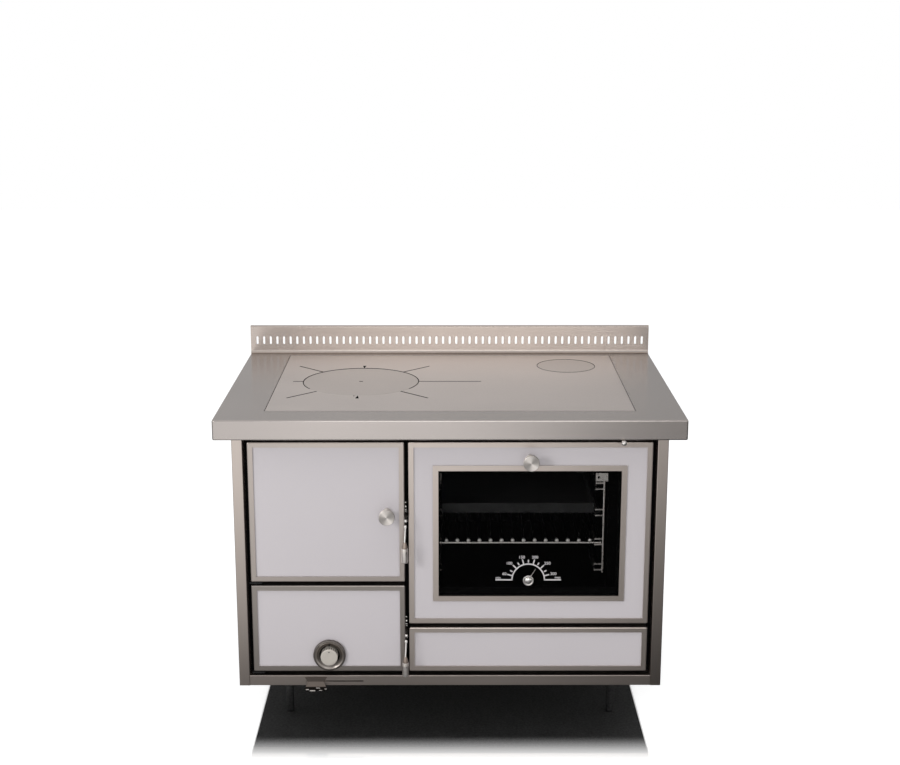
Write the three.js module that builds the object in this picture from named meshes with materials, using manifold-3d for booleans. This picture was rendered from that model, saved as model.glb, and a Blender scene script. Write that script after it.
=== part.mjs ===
// A low wood-burning cookstove: firebox and ash door on the left, oven and drawer on the right,
// under a stainless worktop with an inset hob plate.
// Millimetres. X runs to the right, Y from the door fronts into the stove, Z up from the floor.
import * as THREE from "three";
import { mergeVertices } from "three/addons/utils/BufferGeometryUtils.js";
import Module from "manifold-3d";

const wasm = await Module();
wasm.setup();

// ---------------------------------------------------------------- driving dimensions
const FIT = 0.3; // clearance between pieces that seat on each other
const RUN = 0.3; // radial clearance of a pin or shaft in its hole
const CUT = 5; // how far a cutting tool runs past the face it leaves

// Worktop and hob
const WORKTOP_WIDTH = 900;
const WORKTOP_DEPTH = 600;
const WORKTOP_THICKNESS = 39.5;
const WORKTOP_SHEET = 3;
const WORKTOP_EDGE_RADIUS = 2.5;
const WORKTOP_CORNER_RADIUS = 4;
const WORKTOP_RETURN = 60; // inward flange under the edge, which lies on the body
const SIDE_OVERHANG = 32;
const FRONT_OVERHANG = 25;
const REAR_OVERHANG = 25;
const HOB_SIDE_MARGIN = 92.5;
const HOB_FRONT_MARGIN = 69.4;
const HOB_REAR_MARGIN = 39.3;
const HOB_THICKNESS = 10;
const HOB_JOINT = 1.2; // gap round the hob plate
const HOB_LEDGE = 9; // width of the ledge that carries the plate
const HOB_LEDGE_SHEET = 3;
const LID_RADIUS = 119.7;
const LID_THICKNESS = 6;
const LID_JOINT = 1;
const LID_LEDGE = 8;
const LID_FROM_LEFT = 172.1; // lid centre from the plate's left edge
const LID_FROM_FRONT = 243.5; // lid centre from the plate's front edge
const LIFT_SLOT_LENGTH = 8;
const LIFT_SLOT_WIDTH = 2.5;
const LIFT_SLOT_DEPTH = 4;
const COVER_RADIUS = 62.4;
const COVER_FROM_RIGHT = 104.3;
const COVER_FROM_REAR = 103.3;
const EXPANSION_SLOT_WIDTH = 2.2;
const EXPANSION_SLOT_REACH = 80; // diagonal slots, out of the lid's edge
const EXPANSION_SLOT_LEFT = 22;
const EXPANSION_SLOT_RIGHT = 131;
const NOTCH_SIZE = 7;

// Backsplash
const SPLASH_HEIGHT = 62.5;
const SPLASH_DEPTH = 11.5;
const SPLASH_SHEET = 1.5;
const SPLASH_LIP = 9;
const SPLASH_TOP_RADIUS = 3;
const SPLASH_END_INSET = 0.5; // end caps inside the folded sheet
const COVE_RADIUS = 7;
const SLOT_PITCH = 15;
const SLOT_WIDTH = 4.5;
const SLOT_HEIGHT = 18.2;
const SLOT_RISE = 20; // slot's lower end above the worktop
const SLOT_END_MARGIN = 15; // first slot's centre from the end

// Body and front frame
const FOOT_HEIGHT = 73.5;
const BODY_HEIGHT = 512.5;
const STILE_WIDTH = 20.7;
const RAIL_HEIGHT = 21.5;
const FRAME_DEPTH = 26;
const FRAME_SHEET = 2.5;
const FRAME_EDGE_RADIUS = 1.5;
const CASING_INSET = 20; // casing behind the front frame, each side
const CASING_SHEET = 2;
const PLATE_SHEET = 3; // black face plate behind the doors
const PLATE_WING = 12; // how far it reaches behind each stile past the casing

// Front layout
const SIDE_GAP = 8.65;
const CENTRE_GAP = 7.1;
const TOP_GAP = 10.5;
const BOTTOM_GAP = 8.8;
const LEFT_ROW_GAP = 7.5;
const RIGHT_ROW_GAP = 8;
const LEFT_COLUMN_WIDTH = 301;
const ASH_DOOR_HEIGHT = 180.7;
const DRAWER_HEIGHT = 92.7;

// Construction shared by every front
const FRONT_DEPTH = 20;
const TRIM_FACE = 10.5; // width of the steel border seen from the front
const TRIM_SHEET = 2.5;
const TRIM_EDGE_RADIUS = 2;
const PANEL_THICKNESS = 2; // enamelled sheet
const LINER_THICKNESS = 2.5;
const LINER_SETBACK = 0.5; // liner's back in front of the trim's back

// Knobs
const KNOB_RADIUS = 15.3;
const KNOB_REACH = 35;
const KNOB_DISC = 9;
const KNOB_NECK_RADIUS = 6;
const FIREBOX_KNOB_FROM_EDGE = 33.7;
const FIREBOX_KNOB_RISE = 142.8;
const OVEN_KNOB_DROP = 32.8;

// Hinges of the two left doors
const HINGE_INSET = 8.8;
const HINGE_DEPTH = 10;
const HINGE_PIN_RADIUS = 2.5;
const HINGE_PIN_REACH = 9; // length of pin inside the door
const HINGE_LEAF = 3;
const HINGE_LEAF_WIDTH = 24;
const HINGE_LEAF_NOSE = 6; // leaf in front of the pin's centre

// Hinges of the oven door
const OVEN_HINGE_RISE = 8;
const OVEN_HINGE_DEPTH = 10;
const OVEN_HINGE_PIN_RADIUS = 2.5;
const OVEN_ARM_RADIUS = 4.5;
const OVEN_ARM_THICKNESS = 4;
const OVEN_ARM_FROM_EDGE = 18.5; // arm's outer face from the door's side
const OVEN_LUG_THICKNESS = 4;
const OVEN_LUG_GAP = 4; // between arm and lug
const OVEN_ARM_CLEARANCE = 1;

// Latch levers
const LEVER_RADIUS = 2;
const LEVER_OFFSET = 2.6; // shaft axis outside the door's edge
const LEVER_STAND_OFF = 22; // stem's top in front of the door
const FIREBOX_LEVER_RISE = 138;
const ASH_LEVER_RISE = 90.2;
const GRIP_STAND_OFF = 32;
const GRIP_SHIFT = 2.2; // grip axis towards the door
const STEM_DROP = 46;
const COLLAR_LENGTH = 11;
const COLLAR_RADIUS = 5.2;
const GRIP_RADIUS = 6.2;
const GRIP_LENGTH = 29;
const GRIP_BORE_DEPTH = 20;
const EAR_THICKNESS = 1.8;
const EAR_HEIGHT = 14;
const EAR_OVERLAP = 20;
const EAR_REACH = 6;
const CAM_THICKNESS = 2.8;
const CAM_WIDTH = 6;
const CAM_REACH = 12;

// Air dial on the ash door and air slider in the rail
const DIAL_RISE = 35.2;
const DIAL_RING_RADIUS = 31;
const DIAL_RECESS_RADIUS = 20.4;
const DIAL_RING_REACH = 5.5;
const DIAL_WEB_HALF_WIDTH = 24.5;
const DIAL_WEB_TOP_HALF_WIDTH = 22;
const DIAL_WEB_RISE = 15;
const DIAL_KNOB_RADIUS = 16.8;
const DIAL_KNOB_REACH = 14;
const DIAL_SHAFT_RADIUS = 4;
const POINTER_WIDTH = 3;
const POINTER_HEIGHT = 3;
const SLIDER_SLOT_FROM_LEFT = 111; // slot's left end from the rail's left end
const SLIDER_SLOT_LENGTH = 114;
const SLIDER_SLOT_HEIGHT = 2.2;
const SLIDER_SLOT_RISE = 9.4; // slot's centre above the rail's foot
const SLIDER_WAIST = 32;
const SLIDER_FLARE = 44;
const SLIDER_REST = 20.3; // tab's centre from the slot's left end
const SLIDER_UPPER = 9;
const SLIDER_LOWER = 16;
const SLIDER_SHEET = 1.5;
const SLIDER_GATE_SHEET = 2;
const SLIDER_LEAN = 42; // degrees that the lower flap leans forward
const SLIDER_ROLL_RADIUS = 3;

// Oven
const OVEN_LEFT_INSET = 40.5; // cavity wall inside the door's left edge
const OVEN_RIGHT_INSET = 81.6;
const OVEN_FLOOR_RISE = 65;
const OVEN_CEILING_DROP = 47.5;
const OVEN_DEPTH = 400;
const OVEN_SHEET = 2;
const OVEN_FLANGE = 29;
const OVEN_STOP_RISE = 18;
const OVEN_STOP_HEIGHT = 24;
const OVEN_STOP_DEPTH = 6;
const BYPASS_LIP = 34; // ledge over the flue passage that the smoke damper slides on
const WINDOW_SIDE_LEFT = 47.4; // window frame inside the oven door's edges
const WINDOW_SIDE_RIGHT = 48.2;
const WINDOW_BELOW = 47.1;
const WINDOW_ABOVE = 47.2;
const WINDOW_BAR = 10.6;
const WINDOW_FACE_SETBACK = 0.5;
const WINDOW_SHEET = 2;
const GLASS_THICKNESS = 4;
const GLASS_LAP = 8; // glass past its opening, each side
const LINER_WINDOW = { left: 2.1, right: 4.7, low: 12, high: 7.5 }; // inside the window's opening

// Oven racks
const WIRE_RADIUS = 1.75;
const POST_RADIUS = 2;
const POST_FROM_WALL = 7;
const PRONG_LENGTH = 15.5;
const RAIL_FRONT = 32;
const RAIL_LENGTH = 368;
const RAIL_FOOT_RISE = 30.5; // post's lower end above the cavity floor
const RUNNER_RISES = [36, 88.2, 148.5, 202.3]; // lower wire of each level above the cavity floor
const RUNNER_PAIR = 12;
const RACK_LEVEL = 1; // which runner carries the rack
const BRACKET_WIDTH = 24;
const BRACKET_HEIGHT = 16.5;
const BRACKET_SHEET = 2;
const BRACKET_HOLE_RADIUS = 2.5;
const RACK_PLAY = 1.5; // between the rack and the posts, each side
const RACK_BAR_MARGIN = 15; // least room from the side wires to the outer bars
const RACK_BAR_RADIUS = 2.8;
const RACK_BAR_PITCH = 21.66;
const RACK_FRAME_RADIUS = 1.85;
const RACK_WELD = 0.7; // how far crossing wires sink into each other

// Thermometer
const THERMOMETER_FROM_LEFT = 233.4; // from the oven door's left edge
const THERMOMETER_RISE = 89.3;
const BOSS_RADIUS = 10.7;
const BOSS_REACH = 8;
const BOSS_STEM_RADIUS = 3;
const NEEDLE_LENGTH = 27.6;
const NEEDLE_WIDTH = 1.6;
const NEEDLE_HUB_RADIUS = 6;
const NEEDLE_SHEET = 1;
const NEEDLE_ANGLE = 31.4; // degrees clockwise from straight up

// Firebox and ash compartment
const PARTITION_SHEET = 2;
const PARTITION_FROM_GAP = 3.4; // partition's right face left of the centre gap
const PARTITION_TOP_DROP = 46;
const LINING_WALL = 30;
const LINING_GAP = 24; // insulation between casing and lining
const LINING_DEPTH = 420;
const LINING_TOP_DROP = 20;
const GRATE_THICKNESS = 12;
const GRATE_RISE = 202.5; // grate plate's underside above the body's foot
const GRATE_DEPTH = 450;
const GRATE_SLOTS = 9;
const GRATE_SLOT_WIDTH = 10;
const GRATE_SLOT_LENGTH = 230;
const GRATE_SLOT_PITCH = 20;
const GRATE_SLOT_FRONT = 60;
const SHELF_RISE = 95;
const SHELF_SHEET = 3;
const PAN_WIDTH = 220;
const PAN_DEPTH = 360;
const PAN_HEIGHT = 60;
const PAN_SHEET = 2;
const PAN_SETBACK = 70;
const PAN_LIP = 12;

// Face plate openings, inside the edges of the front that covers each
const FIREBOX_OPENING = { side: 44, low: 28, high: 30.5 };
const ASH_OPENING = { side: 37, low: 46, high: 26 };
const OVEN_OPENING = { left: 20, right: 60, low: 46, high: 28 };
const DRAWER_OPENING = { side: 24, low: 0.6, high: 3 };
const SEAL_INSET = 22;
const SEAL_WIDTH = 9;
const SEAL_END_INSET = 14;

// Drawer
const TRAY_SIDE_INSET = 28;
const TRAY_RISE = 4.5;
const TRAY_HEIGHT = 78;
const TRAY_DEPTH = 400;
const TRAY_SHEET = 1.5;
const RUNNER_SHEET = 2;
const RUNNER_FLANGE = 16;
const RUNNER_WEB = 24;

// Flue, damper and feet
const FLUE_RADIUS = 66;
const FLUE_SHEET = 1.7;
const FLUE_FLANGE_WIDTH = 18;
const FLUE_FLANGE_SHEET = 2.5;
const FLUE_REACH = 40;
const FLUE_FROM_RIGHT = 158; // from the casing's right side
const FLUE_DROP = 116; // below the top of the body
const DAMPER_FROM_RIGHT = 69; // from the stile's inner edge
const DAMPER_BELOW_TOP = 3.5;
const DAMPER_ROD_RADIUS = 2;
const DAMPER_KNOB_RADIUS = 5.5;
const DAMPER_REACH = 31;
const DAMPER_PLATE_WIDTH = 60;
const DAMPER_PLATE_LENGTH = 150;
const DAMPER_PLATE_SHEET = 2;
const DAMPER_SINK = 0.5; // how far the rod is let into the plate
const DAMPER_PLATE_FRONT = 130;
const FOOT_PAD_RADIUS = 24;
const FOOT_PAD_HEIGHT = 9;
const FOOT_STEM_RADIUS = 8;
const FOOT_SIDE_INSET = 58; // from the casing's side
const FOOT_FRONT_INSET = 190; // from the door fronts
const FOOT_REAR_INSET = 50; // from the casing's back

// ---------------------------------------------------------------- places worked out from them
const BODY_WIDTH = WORKTOP_WIDTH - 2 * SIDE_OVERHANG;
const BODY_BACK = WORKTOP_DEPTH - FRONT_OVERHANG - REAR_OVERHANG;
const BODY_FOOT = FOOT_HEIGHT;
const BODY_TOP = FOOT_HEIGHT + BODY_HEIGHT;
const TOP = BODY_TOP + WORKTOP_THICKNESS;
const FRAME_SIDE = BODY_WIDTH / 2;
const RAIL_SIDE = FRAME_SIDE - STILE_WIDTH;
const RAIL_TOP = BODY_FOOT + RAIL_HEIGHT;
const CASING_SIDE = FRAME_SIDE - CASING_INSET;
const CASING_INNER = CASING_SIDE - CASING_SHEET;
const PLATE_FRONT = FRAME_DEPTH + FIT;
const PLATE_BACK = PLATE_FRONT + PLATE_SHEET;
const CASING_FRONT = PLATE_BACK + FIT;
const WORKTOP_FRONT = -FRONT_OVERHANG;
const WORKTOP_BACK = WORKTOP_FRONT + WORKTOP_DEPTH;
const REACH_FRONT = -Math.max(DAMPER_REACH + DAMPER_KNOB_RADIUS, GRIP_STAND_OFF + GRIP_RADIUS, KNOB_REACH);
const REACH_BACK = Math.max(WORKTOP_BACK, BODY_BACK + FLUE_REACH);

const FRONTS_FOOT = RAIL_TOP + BOTTOM_GAP;
const FRONTS_TOP = BODY_TOP - TOP_GAP;
const LEFT_X = -RAIL_SIDE + SIDE_GAP;
const RIGHT_X = LEFT_X + LEFT_COLUMN_WIDTH + CENTRE_GAP;
const RIGHT_COLUMN_WIDTH = RAIL_SIDE - SIDE_GAP - RIGHT_X;
const FIREBOX_FOOT = FRONTS_FOOT + ASH_DOOR_HEIGHT + LEFT_ROW_GAP;
const OVEN_FOOT = FRONTS_FOOT + DRAWER_HEIGHT + RIGHT_ROW_GAP;

// Each front as a rectangle on the front plane.
const ASH = { x: LEFT_X, z: FRONTS_FOOT, w: LEFT_COLUMN_WIDTH, h: ASH_DOOR_HEIGHT };
const FIREBOX = { x: LEFT_X, z: FIREBOX_FOOT, w: LEFT_COLUMN_WIDTH, h: FRONTS_TOP - FIREBOX_FOOT };
const LEVER_RISE = { firebox: FIREBOX_LEVER_RISE, ash: ASH_LEVER_RISE };
const OVEN = { x: RIGHT_X, z: OVEN_FOOT, w: RIGHT_COLUMN_WIDTH, h: FRONTS_TOP - OVEN_FOOT };
const DRAWER = { x: RIGHT_X, z: FRONTS_FOOT, w: RIGHT_COLUMN_WIDTH, h: DRAWER_HEIGHT };

const PANEL_FRONT = TRIM_SHEET + FIT;
const PANEL_BACK = PANEL_FRONT + PANEL_THICKNESS;
const LINER_BACK = FRONT_DEPTH - LINER_SETBACK;
const LINER_FRONT = LINER_BACK - LINER_THICKNESS;
const INNER_EDGE = TRIM_SHEET + FIT; // panel and liner inside the trim's folded sides

const PARTITION_RIGHT = RIGHT_X - CENTRE_GAP - PARTITION_FROM_GAP;
const PARTITION_LEFT = PARTITION_RIGHT - PARTITION_SHEET;

// ---------------------------------------------------------------- finishes
const finish = (color, roughness, metalness, extra = {}) =>
  new THREE.MeshStandardMaterial({ color, roughness, metalness, ...extra });
const STEEL = finish(0xb3aaa2, 0.35, 1);
const HOB_STEEL = finish(0xbdb1a6, 0.42, 1);
const CHROME = finish(0xd9d3cc, 0.12, 1);
const ENAMEL = finish(0xc8c4c9, 0.3, 0);
const BLACK_SHEET = finish(0x0c0c0c, 0.6, 0.2);
const CAST_IRON = finish(0x2b2a29, 0.75, 0.6);
const REFRACTORY = finish(0xa8927a, 0.95, 0);
const GLASS = finish(0x101214, 0.05, 0, { transparent: true, opacity: 0.35 });
const ROPE = finish(0x55524e, 0.95, 0);
const WIRE = finish(0xb8b0a8, 0.25, 1);

// ---------------------------------------------------------------- solids and booleans
function solid(geometry) {
  const bare = geometry.clone();
  bare.deleteAttribute("normal");
  bare.deleteAttribute("uv");
  const merged = mergeVertices(bare, 1e-3);
  const corners = merged.index.array;
  const faces = [];
  for (let i = 0; i < corners.length; i += 3) {
    const [a, b, c] = [corners[i], corners[i + 1], corners[i + 2]];
    if (a !== b && b !== c && c !== a) faces.push(a, b, c);
  }
  const vertProperties = merged.attributes.position.array;
  const body = (triVerts) => new wasm.Manifold(new wasm.Mesh({ numProp: 3, vertProperties, triVerts }));
  const made = body(new Uint32Array(faces));
  // A profile drawn the other way round makes a body that faces inwards, so its faces are turned.
  return made.volume() < 0 ? body(new Uint32Array(faces.reverse())) : made;
}

function geometryOf(body) {
  const mesh = body.getMesh();
  return new THREE.BufferGeometry()
    .setAttribute("position", new THREE.BufferAttribute(new Float32Array(mesh.vertProperties), 3))
    .setIndex(new THREE.BufferAttribute(new Uint32Array(mesh.triVerts), 1));
}

const join = (first, ...rest) => rest.reduce((whole, piece) => whole.add(piece), first);
const cut = (first, ...tools) => tools.reduce((whole, tool) => whole.subtract(tool), first);

function box(x0, x1, y0, y1, z0, z1) {
  const geometry = new THREE.BoxGeometry(x1 - x0, y1 - y0, z1 - z0);
  return solid(geometry.translate((x0 + x1) / 2, (y0 + y1) / 2, (z0 + z1) / 2));
}

// A round bar between two points.
function bar(from, to, radius, sides = 16) {
  const a = new THREE.Vector3(...from);
  const b = new THREE.Vector3(...to);
  const along = b.clone().sub(a);
  const geometry = new THREE.CylinderGeometry(radius, radius, along.length(), sides);
  const turn = new THREE.Quaternion().setFromUnitVectors(new THREE.Vector3(0, 1, 0), along.normalize());
  geometry.applyQuaternion(turn);
  const middle = a.add(b).multiplyScalar(0.5);
  return solid(geometry.translate(middle.x, middle.y, middle.z));
}

function ball(at, radius, sides = 12) {
  return solid(new THREE.SphereGeometry(radius, sides, sides / 2).translate(...at));
}

// Outlines drawn as [across, up] and extruded: in depth (Y), upwards (Z) or sideways (X).
function outline(points) {
  return new THREE.Shape(points.map(([x, y]) => new THREE.Vector2(x, y)));
}

function extrudeDepth(shape, y0, y1, segments = 12) {
  const geometry = new THREE.ExtrudeGeometry(shape, {
    depth: y1 - y0,
    bevelEnabled: false,
    curveSegments: segments,
  });
  return solid(geometry.rotateX(Math.PI / 2).translate(0, y1, 0));
}

function extrudeUp(shape, z0, z1, segments = 6) {
  const geometry = new THREE.ExtrudeGeometry(shape, {
    depth: z1 - z0,
    bevelEnabled: false,
    curveSegments: segments,
  });
  return solid(geometry.translate(0, 0, z0));
}

const SIDEWAYS = new THREE.Matrix4().makeBasis(
  new THREE.Vector3(0, 1, 0),
  new THREE.Vector3(0, 0, 1),
  new THREE.Vector3(1, 0, 0),
);

function extrudeSideways(shape, x0, x1, segments = 6) {
  const geometry = new THREE.ExtrudeGeometry(shape, {
    depth: x1 - x0,
    bevelEnabled: false,
    curveSegments: segments,
  });
  return solid(geometry.applyMatrix4(SIDEWAYS).translate(x0, 0, 0));
}

// A turned piece with its axis along Y; the profile is [radius, y], from the back to the front.
function turned(profile, sides = 32) {
  const points = profile.map(([r, y]) => new THREE.Vector2(r, y));
  return solid(new THREE.LatheGeometry(points, sides));
}

// The same with its axis upright; the profile is [radius, z].
function turnedUpright(profile, sides = 32) {
  const points = profile.map(([r, z]) => new THREE.Vector2(r, z));
  return solid(new THREE.LatheGeometry(points, sides).rotateX(Math.PI / 2));
}

function roundedRectangle(x0, y0, x1, y1, r) {
  const shape = new THREE.Shape();
  shape.absarc(x1 - r, y0 + r, r, -Math.PI / 2, 0);
  shape.absarc(x1 - r, y1 - r, r, 0, Math.PI / 2);
  shape.absarc(x0 + r, y1 - r, r, Math.PI / 2, Math.PI);
  shape.absarc(x0 + r, y0 + r, r, Math.PI, 1.5 * Math.PI);
  return shape;
}

// A slab from y = 0 back to y = depth whose front edges are rounded.
function roundedSlab(w, h, depth, radius) {
  const geometry = new THREE.ExtrudeGeometry(roundedRectangle(radius, radius, w - radius, h - radius, 0.8), {
    depth,
    bevelThickness: radius,
    bevelSize: radius,
    bevelSegments: 2,
    curveSegments: 2,
  });
  const slab = solid(geometry.rotateX(Math.PI / 2).translate(0, depth + radius, 0));
  return cut(slab, box(-CUT, w + CUT, depth, depth + 2 * radius + CUT, -CUT, h + CUT));
}

// Cross-section of a folded channel, open at the back: [across, back].
function channel(width, depth, sheet, radius) {
  const shape = new THREE.Shape();
  shape.moveTo(0, depth);
  shape.lineTo(0, radius);
  shape.absarc(radius, radius, radius, Math.PI, 1.5 * Math.PI);
  shape.absarc(width - radius, radius, radius, 1.5 * Math.PI, 2 * Math.PI);
  shape.lineTo(width, depth);
  shape.lineTo(width - sheet, depth);
  shape.lineTo(width - sheet, sheet);
  shape.lineTo(sheet, sheet);
  shape.lineTo(sheet, depth);
  return shape;
}

// ---------------------------------------------------------------- scene graph
const stove = new THREE.Group();
stove.position.y = -(REACH_FRONT + REACH_BACK) / 2;

function add(parent, name, body, material, at = [0, 0, 0]) {
  const mesh = new THREE.Mesh(geometryOf(body), material);
  mesh.name = name;
  mesh.position.set(...at);
  parent.add(mesh);
}

function groupAt(front) {
  const group = new THREE.Group();
  group.position.set(front.x, 0, front.z);
  stove.add(group);
  return group;
}

// ---------------------------------------------------------------- worktop, hob plate and lids
const HOB = {
  x0: -WORKTOP_WIDTH / 2 + HOB_SIDE_MARGIN,
  x1: WORKTOP_WIDTH / 2 - HOB_SIDE_MARGIN,
  y0: WORKTOP_FRONT + HOB_FRONT_MARGIN,
  y1: WORKTOP_BACK - HOB_REAR_MARGIN,
};
const LID = { x: HOB.x0 + LID_FROM_LEFT, y: HOB.y0 + LID_FROM_FRONT, r: LID_RADIUS };
const COVER = { x: HOB.x1 - COVER_FROM_RIGHT, y: HOB.y1 - COVER_FROM_REAR, r: COVER_RADIUS };

function addWorktop() {
  const half = WORKTOP_WIDTH / 2;
  const r = WORKTOP_EDGE_RADIUS;
  const plan = roundedRectangle(
    -half + r,
    WORKTOP_FRONT + r,
    half - r,
    WORKTOP_BACK - r,
    WORKTOP_CORNER_RADIUS - r,
  );
  const slab = solid(
    new THREE.ExtrudeGeometry(plan, {
      depth: WORKTOP_THICKNESS - 2 * r,
      bevelThickness: r,
      bevelSize: r,
      bevelSegments: 3,
      curveSegments: 3,
    }).translate(0, 0, BODY_TOP + r),
  );
  const s = WORKTOP_SHEET;
  const hollow = box(
    -half + s,
    half - s,
    WORKTOP_FRONT + s,
    WORKTOP_BACK - s,
    BODY_TOP + s,
    TOP - s,
  );
  const below = box(
    -half + WORKTOP_RETURN,
    half - WORKTOP_RETURN,
    WORKTOP_FRONT + WORKTOP_RETURN,
    WORKTOP_BACK - WORKTOP_RETURN,
    BODY_TOP - CUT,
    BODY_TOP + s + CUT,
  );
  const ledgeTop = TOP - HOB_THICKNESS - FIT;
  const ledgeFoot = ledgeTop - HOB_LEDGE_SHEET;
  const j = HOB_JOINT;
  const frameAround = (x, y) => [HOB.x0 - x, HOB.x1 + x, HOB.y0 - y, HOB.y1 + y];
  const seat = box(...frameAround(j + s, j + s), ledgeFoot, TOP - r);
  const opening = box(...frameAround(j, j), ledgeTop, TOP + CUT);
  const through = box(...frameAround(-HOB_LEDGE, -HOB_LEDGE), ledgeFoot - CUT, TOP + CUT);
  const shell = join(cut(slab, hollow, below), seat);
  add(stove, "worktop", cut(shell, opening, through), STEEL);
}

function addHobPlate() {
  const foot = TOP - HOB_THICKNESS;
  let plate = box(HOB.x0, HOB.x1, HOB.y0, HOB.y1, foot, TOP);
  const seatDepth = LID_THICKNESS + FIT;
  const sides = 64;
  for (const hole of [LID, COVER]) {
    const mouth = hole.r + LID_JOINT;
    plate = cut(
      plate,
      bar([hole.x, hole.y, TOP - seatDepth], [hole.x, hole.y, TOP + CUT], mouth, sides),
      bar([hole.x, hole.y, foot - CUT], [hole.x, hole.y, TOP], hole.r - LID_LEDGE, sides),
    );
  }
  const slots = [45, 135, 225, 315].map((angle) => [angle, EXPANSION_SLOT_REACH]);
  slots.push([0, EXPANSION_SLOT_RIGHT], [180, EXPANSION_SLOT_LEFT]);
  for (const [angle, reach] of slots) {
    const from = LID.r - LID_LEDGE - 1;
    const slot = new THREE.BoxGeometry(LID.r + reach - from, EXPANSION_SLOT_WIDTH, 2 * HOB_THICKNESS + CUT);
    slot.translate((from + LID.r + reach) / 2, 0, 0).rotateZ(THREE.MathUtils.degToRad(angle));
    plate = cut(plate, solid(slot.translate(LID.x, LID.y, TOP)));
  }
  const base = LID.r + LID_JOINT - 1;
  const notch = [
    [-NOTCH_SIZE / 2, base],
    [NOTCH_SIZE / 2, base],
    [0, base + 1 + NOTCH_SIZE],
  ];
  for (const turn of [-3.5, 176.5]) {
    const tool = new THREE.ExtrudeGeometry(outline(notch), {
      depth: seatDepth + CUT,
      bevelEnabled: false,
    }).rotateZ(THREE.MathUtils.degToRad(turn));
    plate = cut(plate, solid(tool.translate(LID.x, LID.y, TOP - seatDepth)));
  }
  add(stove, "hob_plate", plate, HOB_STEEL);
}

function addLids() {
  const disc = (r) =>
    turnedUpright(
      [
        [0, -LID_THICKNESS],
        [r - 0.6, -LID_THICKNESS],
        [r, -LID_THICKNESS + 0.6],
        [r, -0.6],
        [r - 0.6, 0],
        [0, 0],
      ],
      64,
    );
  const l = LIFT_SLOT_LENGTH / 2;
  const w = LIFT_SLOT_WIDTH / 2;
  const lid = cut(disc(LID.r), box(-l, l, -w, w, -LIFT_SLOT_DEPTH, CUT));
  add(stove, "hob_lid", lid, HOB_STEEL, [LID.x, LID.y, TOP]);
  add(stove, "clean_out_cover", disc(COVER.r), HOB_STEEL, [COVER.x, COVER.y, TOP]);
}

function addBacksplash() {
  const foot = TOP + FIT;
  const top = TOP + SPLASH_HEIGHT;
  const back = WORKTOP_BACK;
  const face = back - SPLASH_DEPTH;
  const s = SPLASH_SHEET;
  const r = SPLASH_TOP_RADIUS;
  const c = COVE_RADIUS;
  const profile = new THREE.Shape();
  profile.moveTo(face + s, foot);
  profile.lineTo(face + s, top - s);
  profile.lineTo(back - s, top - s);
  profile.lineTo(back - s, top - SPLASH_LIP);
  profile.lineTo(back, top - SPLASH_LIP);
  profile.lineTo(back, top - r);
  profile.absarc(back - r, top - r, r, 0, Math.PI / 2);
  profile.absarc(face + r, top - r, r, Math.PI / 2, Math.PI);
  profile.lineTo(face, foot + c);
  profile.absarc(face - c, foot + c, c, 0, -Math.PI / 2, true);
  const half = WORKTOP_WIDTH / 2;
  const skin = extrudeSideways(profile, -half, half, 5);
  const i = SPLASH_END_INSET;
  const ends = [-half + i, half - i - s].map((x) =>
    box(x, x + s, face + s / 2, back - s / 2, foot + i, top - s + i / 2),
  );

  const rise = foot + SLOT_RISE;
  const w = SLOT_WIDTH / 2;
  const slot = new THREE.Shape();
  slot.absarc(0, rise + w, w, Math.PI, 2 * Math.PI);
  slot.absarc(0, rise + SLOT_HEIGHT - w, w, 0, Math.PI);
  const span = WORKTOP_WIDTH - 2 * SLOT_END_MARGIN;
  const count = Math.floor(span / SLOT_PITCH) + 1;
  const first = (-(count - 1) * SLOT_PITCH) / 2;
  const tool = extrudeDepth(slot, face - CUT, face + s + 1, 3);
  let splash = join(skin, ...ends);
  for (let i = 0; i < count; i++) splash = cut(splash, tool.translate([first + i * SLOT_PITCH, 0, 0]));
  add(stove, "backsplash", splash, STEEL);
}

// ---------------------------------------------------------------- body and front frame
function addFrontFrame() {
  const across = STILE_WIDTH;
  const stile = extrudeUp(channel(across, FRAME_DEPTH, FRAME_SHEET, FRAME_EDGE_RADIUS), 0, BODY_HEIGHT - FIT);
  add(stove, "left_stile", stile, STEEL, [-FRAME_SIDE, 0, BODY_FOOT]);
  add(stove, "right_stile", stile, STEEL, [RAIL_SIDE, 0, BODY_FOOT]);

  const section = channel(RAIL_HEIGHT, FRAME_DEPTH, FRAME_SHEET, FRAME_EDGE_RADIUS);
  const half = RAIL_SIDE - FIT;
  const upright = extrudeUp(section, -half, half);
  // The section's width turns upright, and its length turns sideways.
  const turn = new THREE.Matrix4().makeBasis(
    new THREE.Vector3(0, 0, 1),
    new THREE.Vector3(0, 1, 0),
    new THREE.Vector3(-1, 0, 0),
  );
  const rail = solid(geometryOf(upright).applyMatrix4(turn).translate(0, 0, BODY_FOOT));
  const x0 = -RAIL_SIDE + SLIDER_SLOT_FROM_LEFT;
  const z = BODY_FOOT + SLIDER_SLOT_RISE;
  const slot = box(
    x0,
    x0 + SLIDER_SLOT_LENGTH,
    -CUT,
    FRAME_SHEET + 1,
    z - SLIDER_SLOT_HEIGHT / 2,
    z + SLIDER_SLOT_HEIGHT / 2,
  );
  add(stove, "bottom_rail", cut(rail, slot), STEEL);
}

const insideOf = (front, inset) => [
  front.x + (inset.left ?? inset.side),
  front.x + front.w - (inset.right ?? inset.side),
  front.z + inset.low,
  front.z + front.h - inset.high,
];
const DAMPER = { x: RAIL_SIDE - DAMPER_FROM_RIGHT, z: BODY_TOP - DAMPER_BELOW_TOP };
const DAMPER_SEAT = DAMPER.z - DAMPER_ROD_RADIUS - DAMPER_PLATE_SHEET - FIT + DAMPER_SINK;

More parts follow.
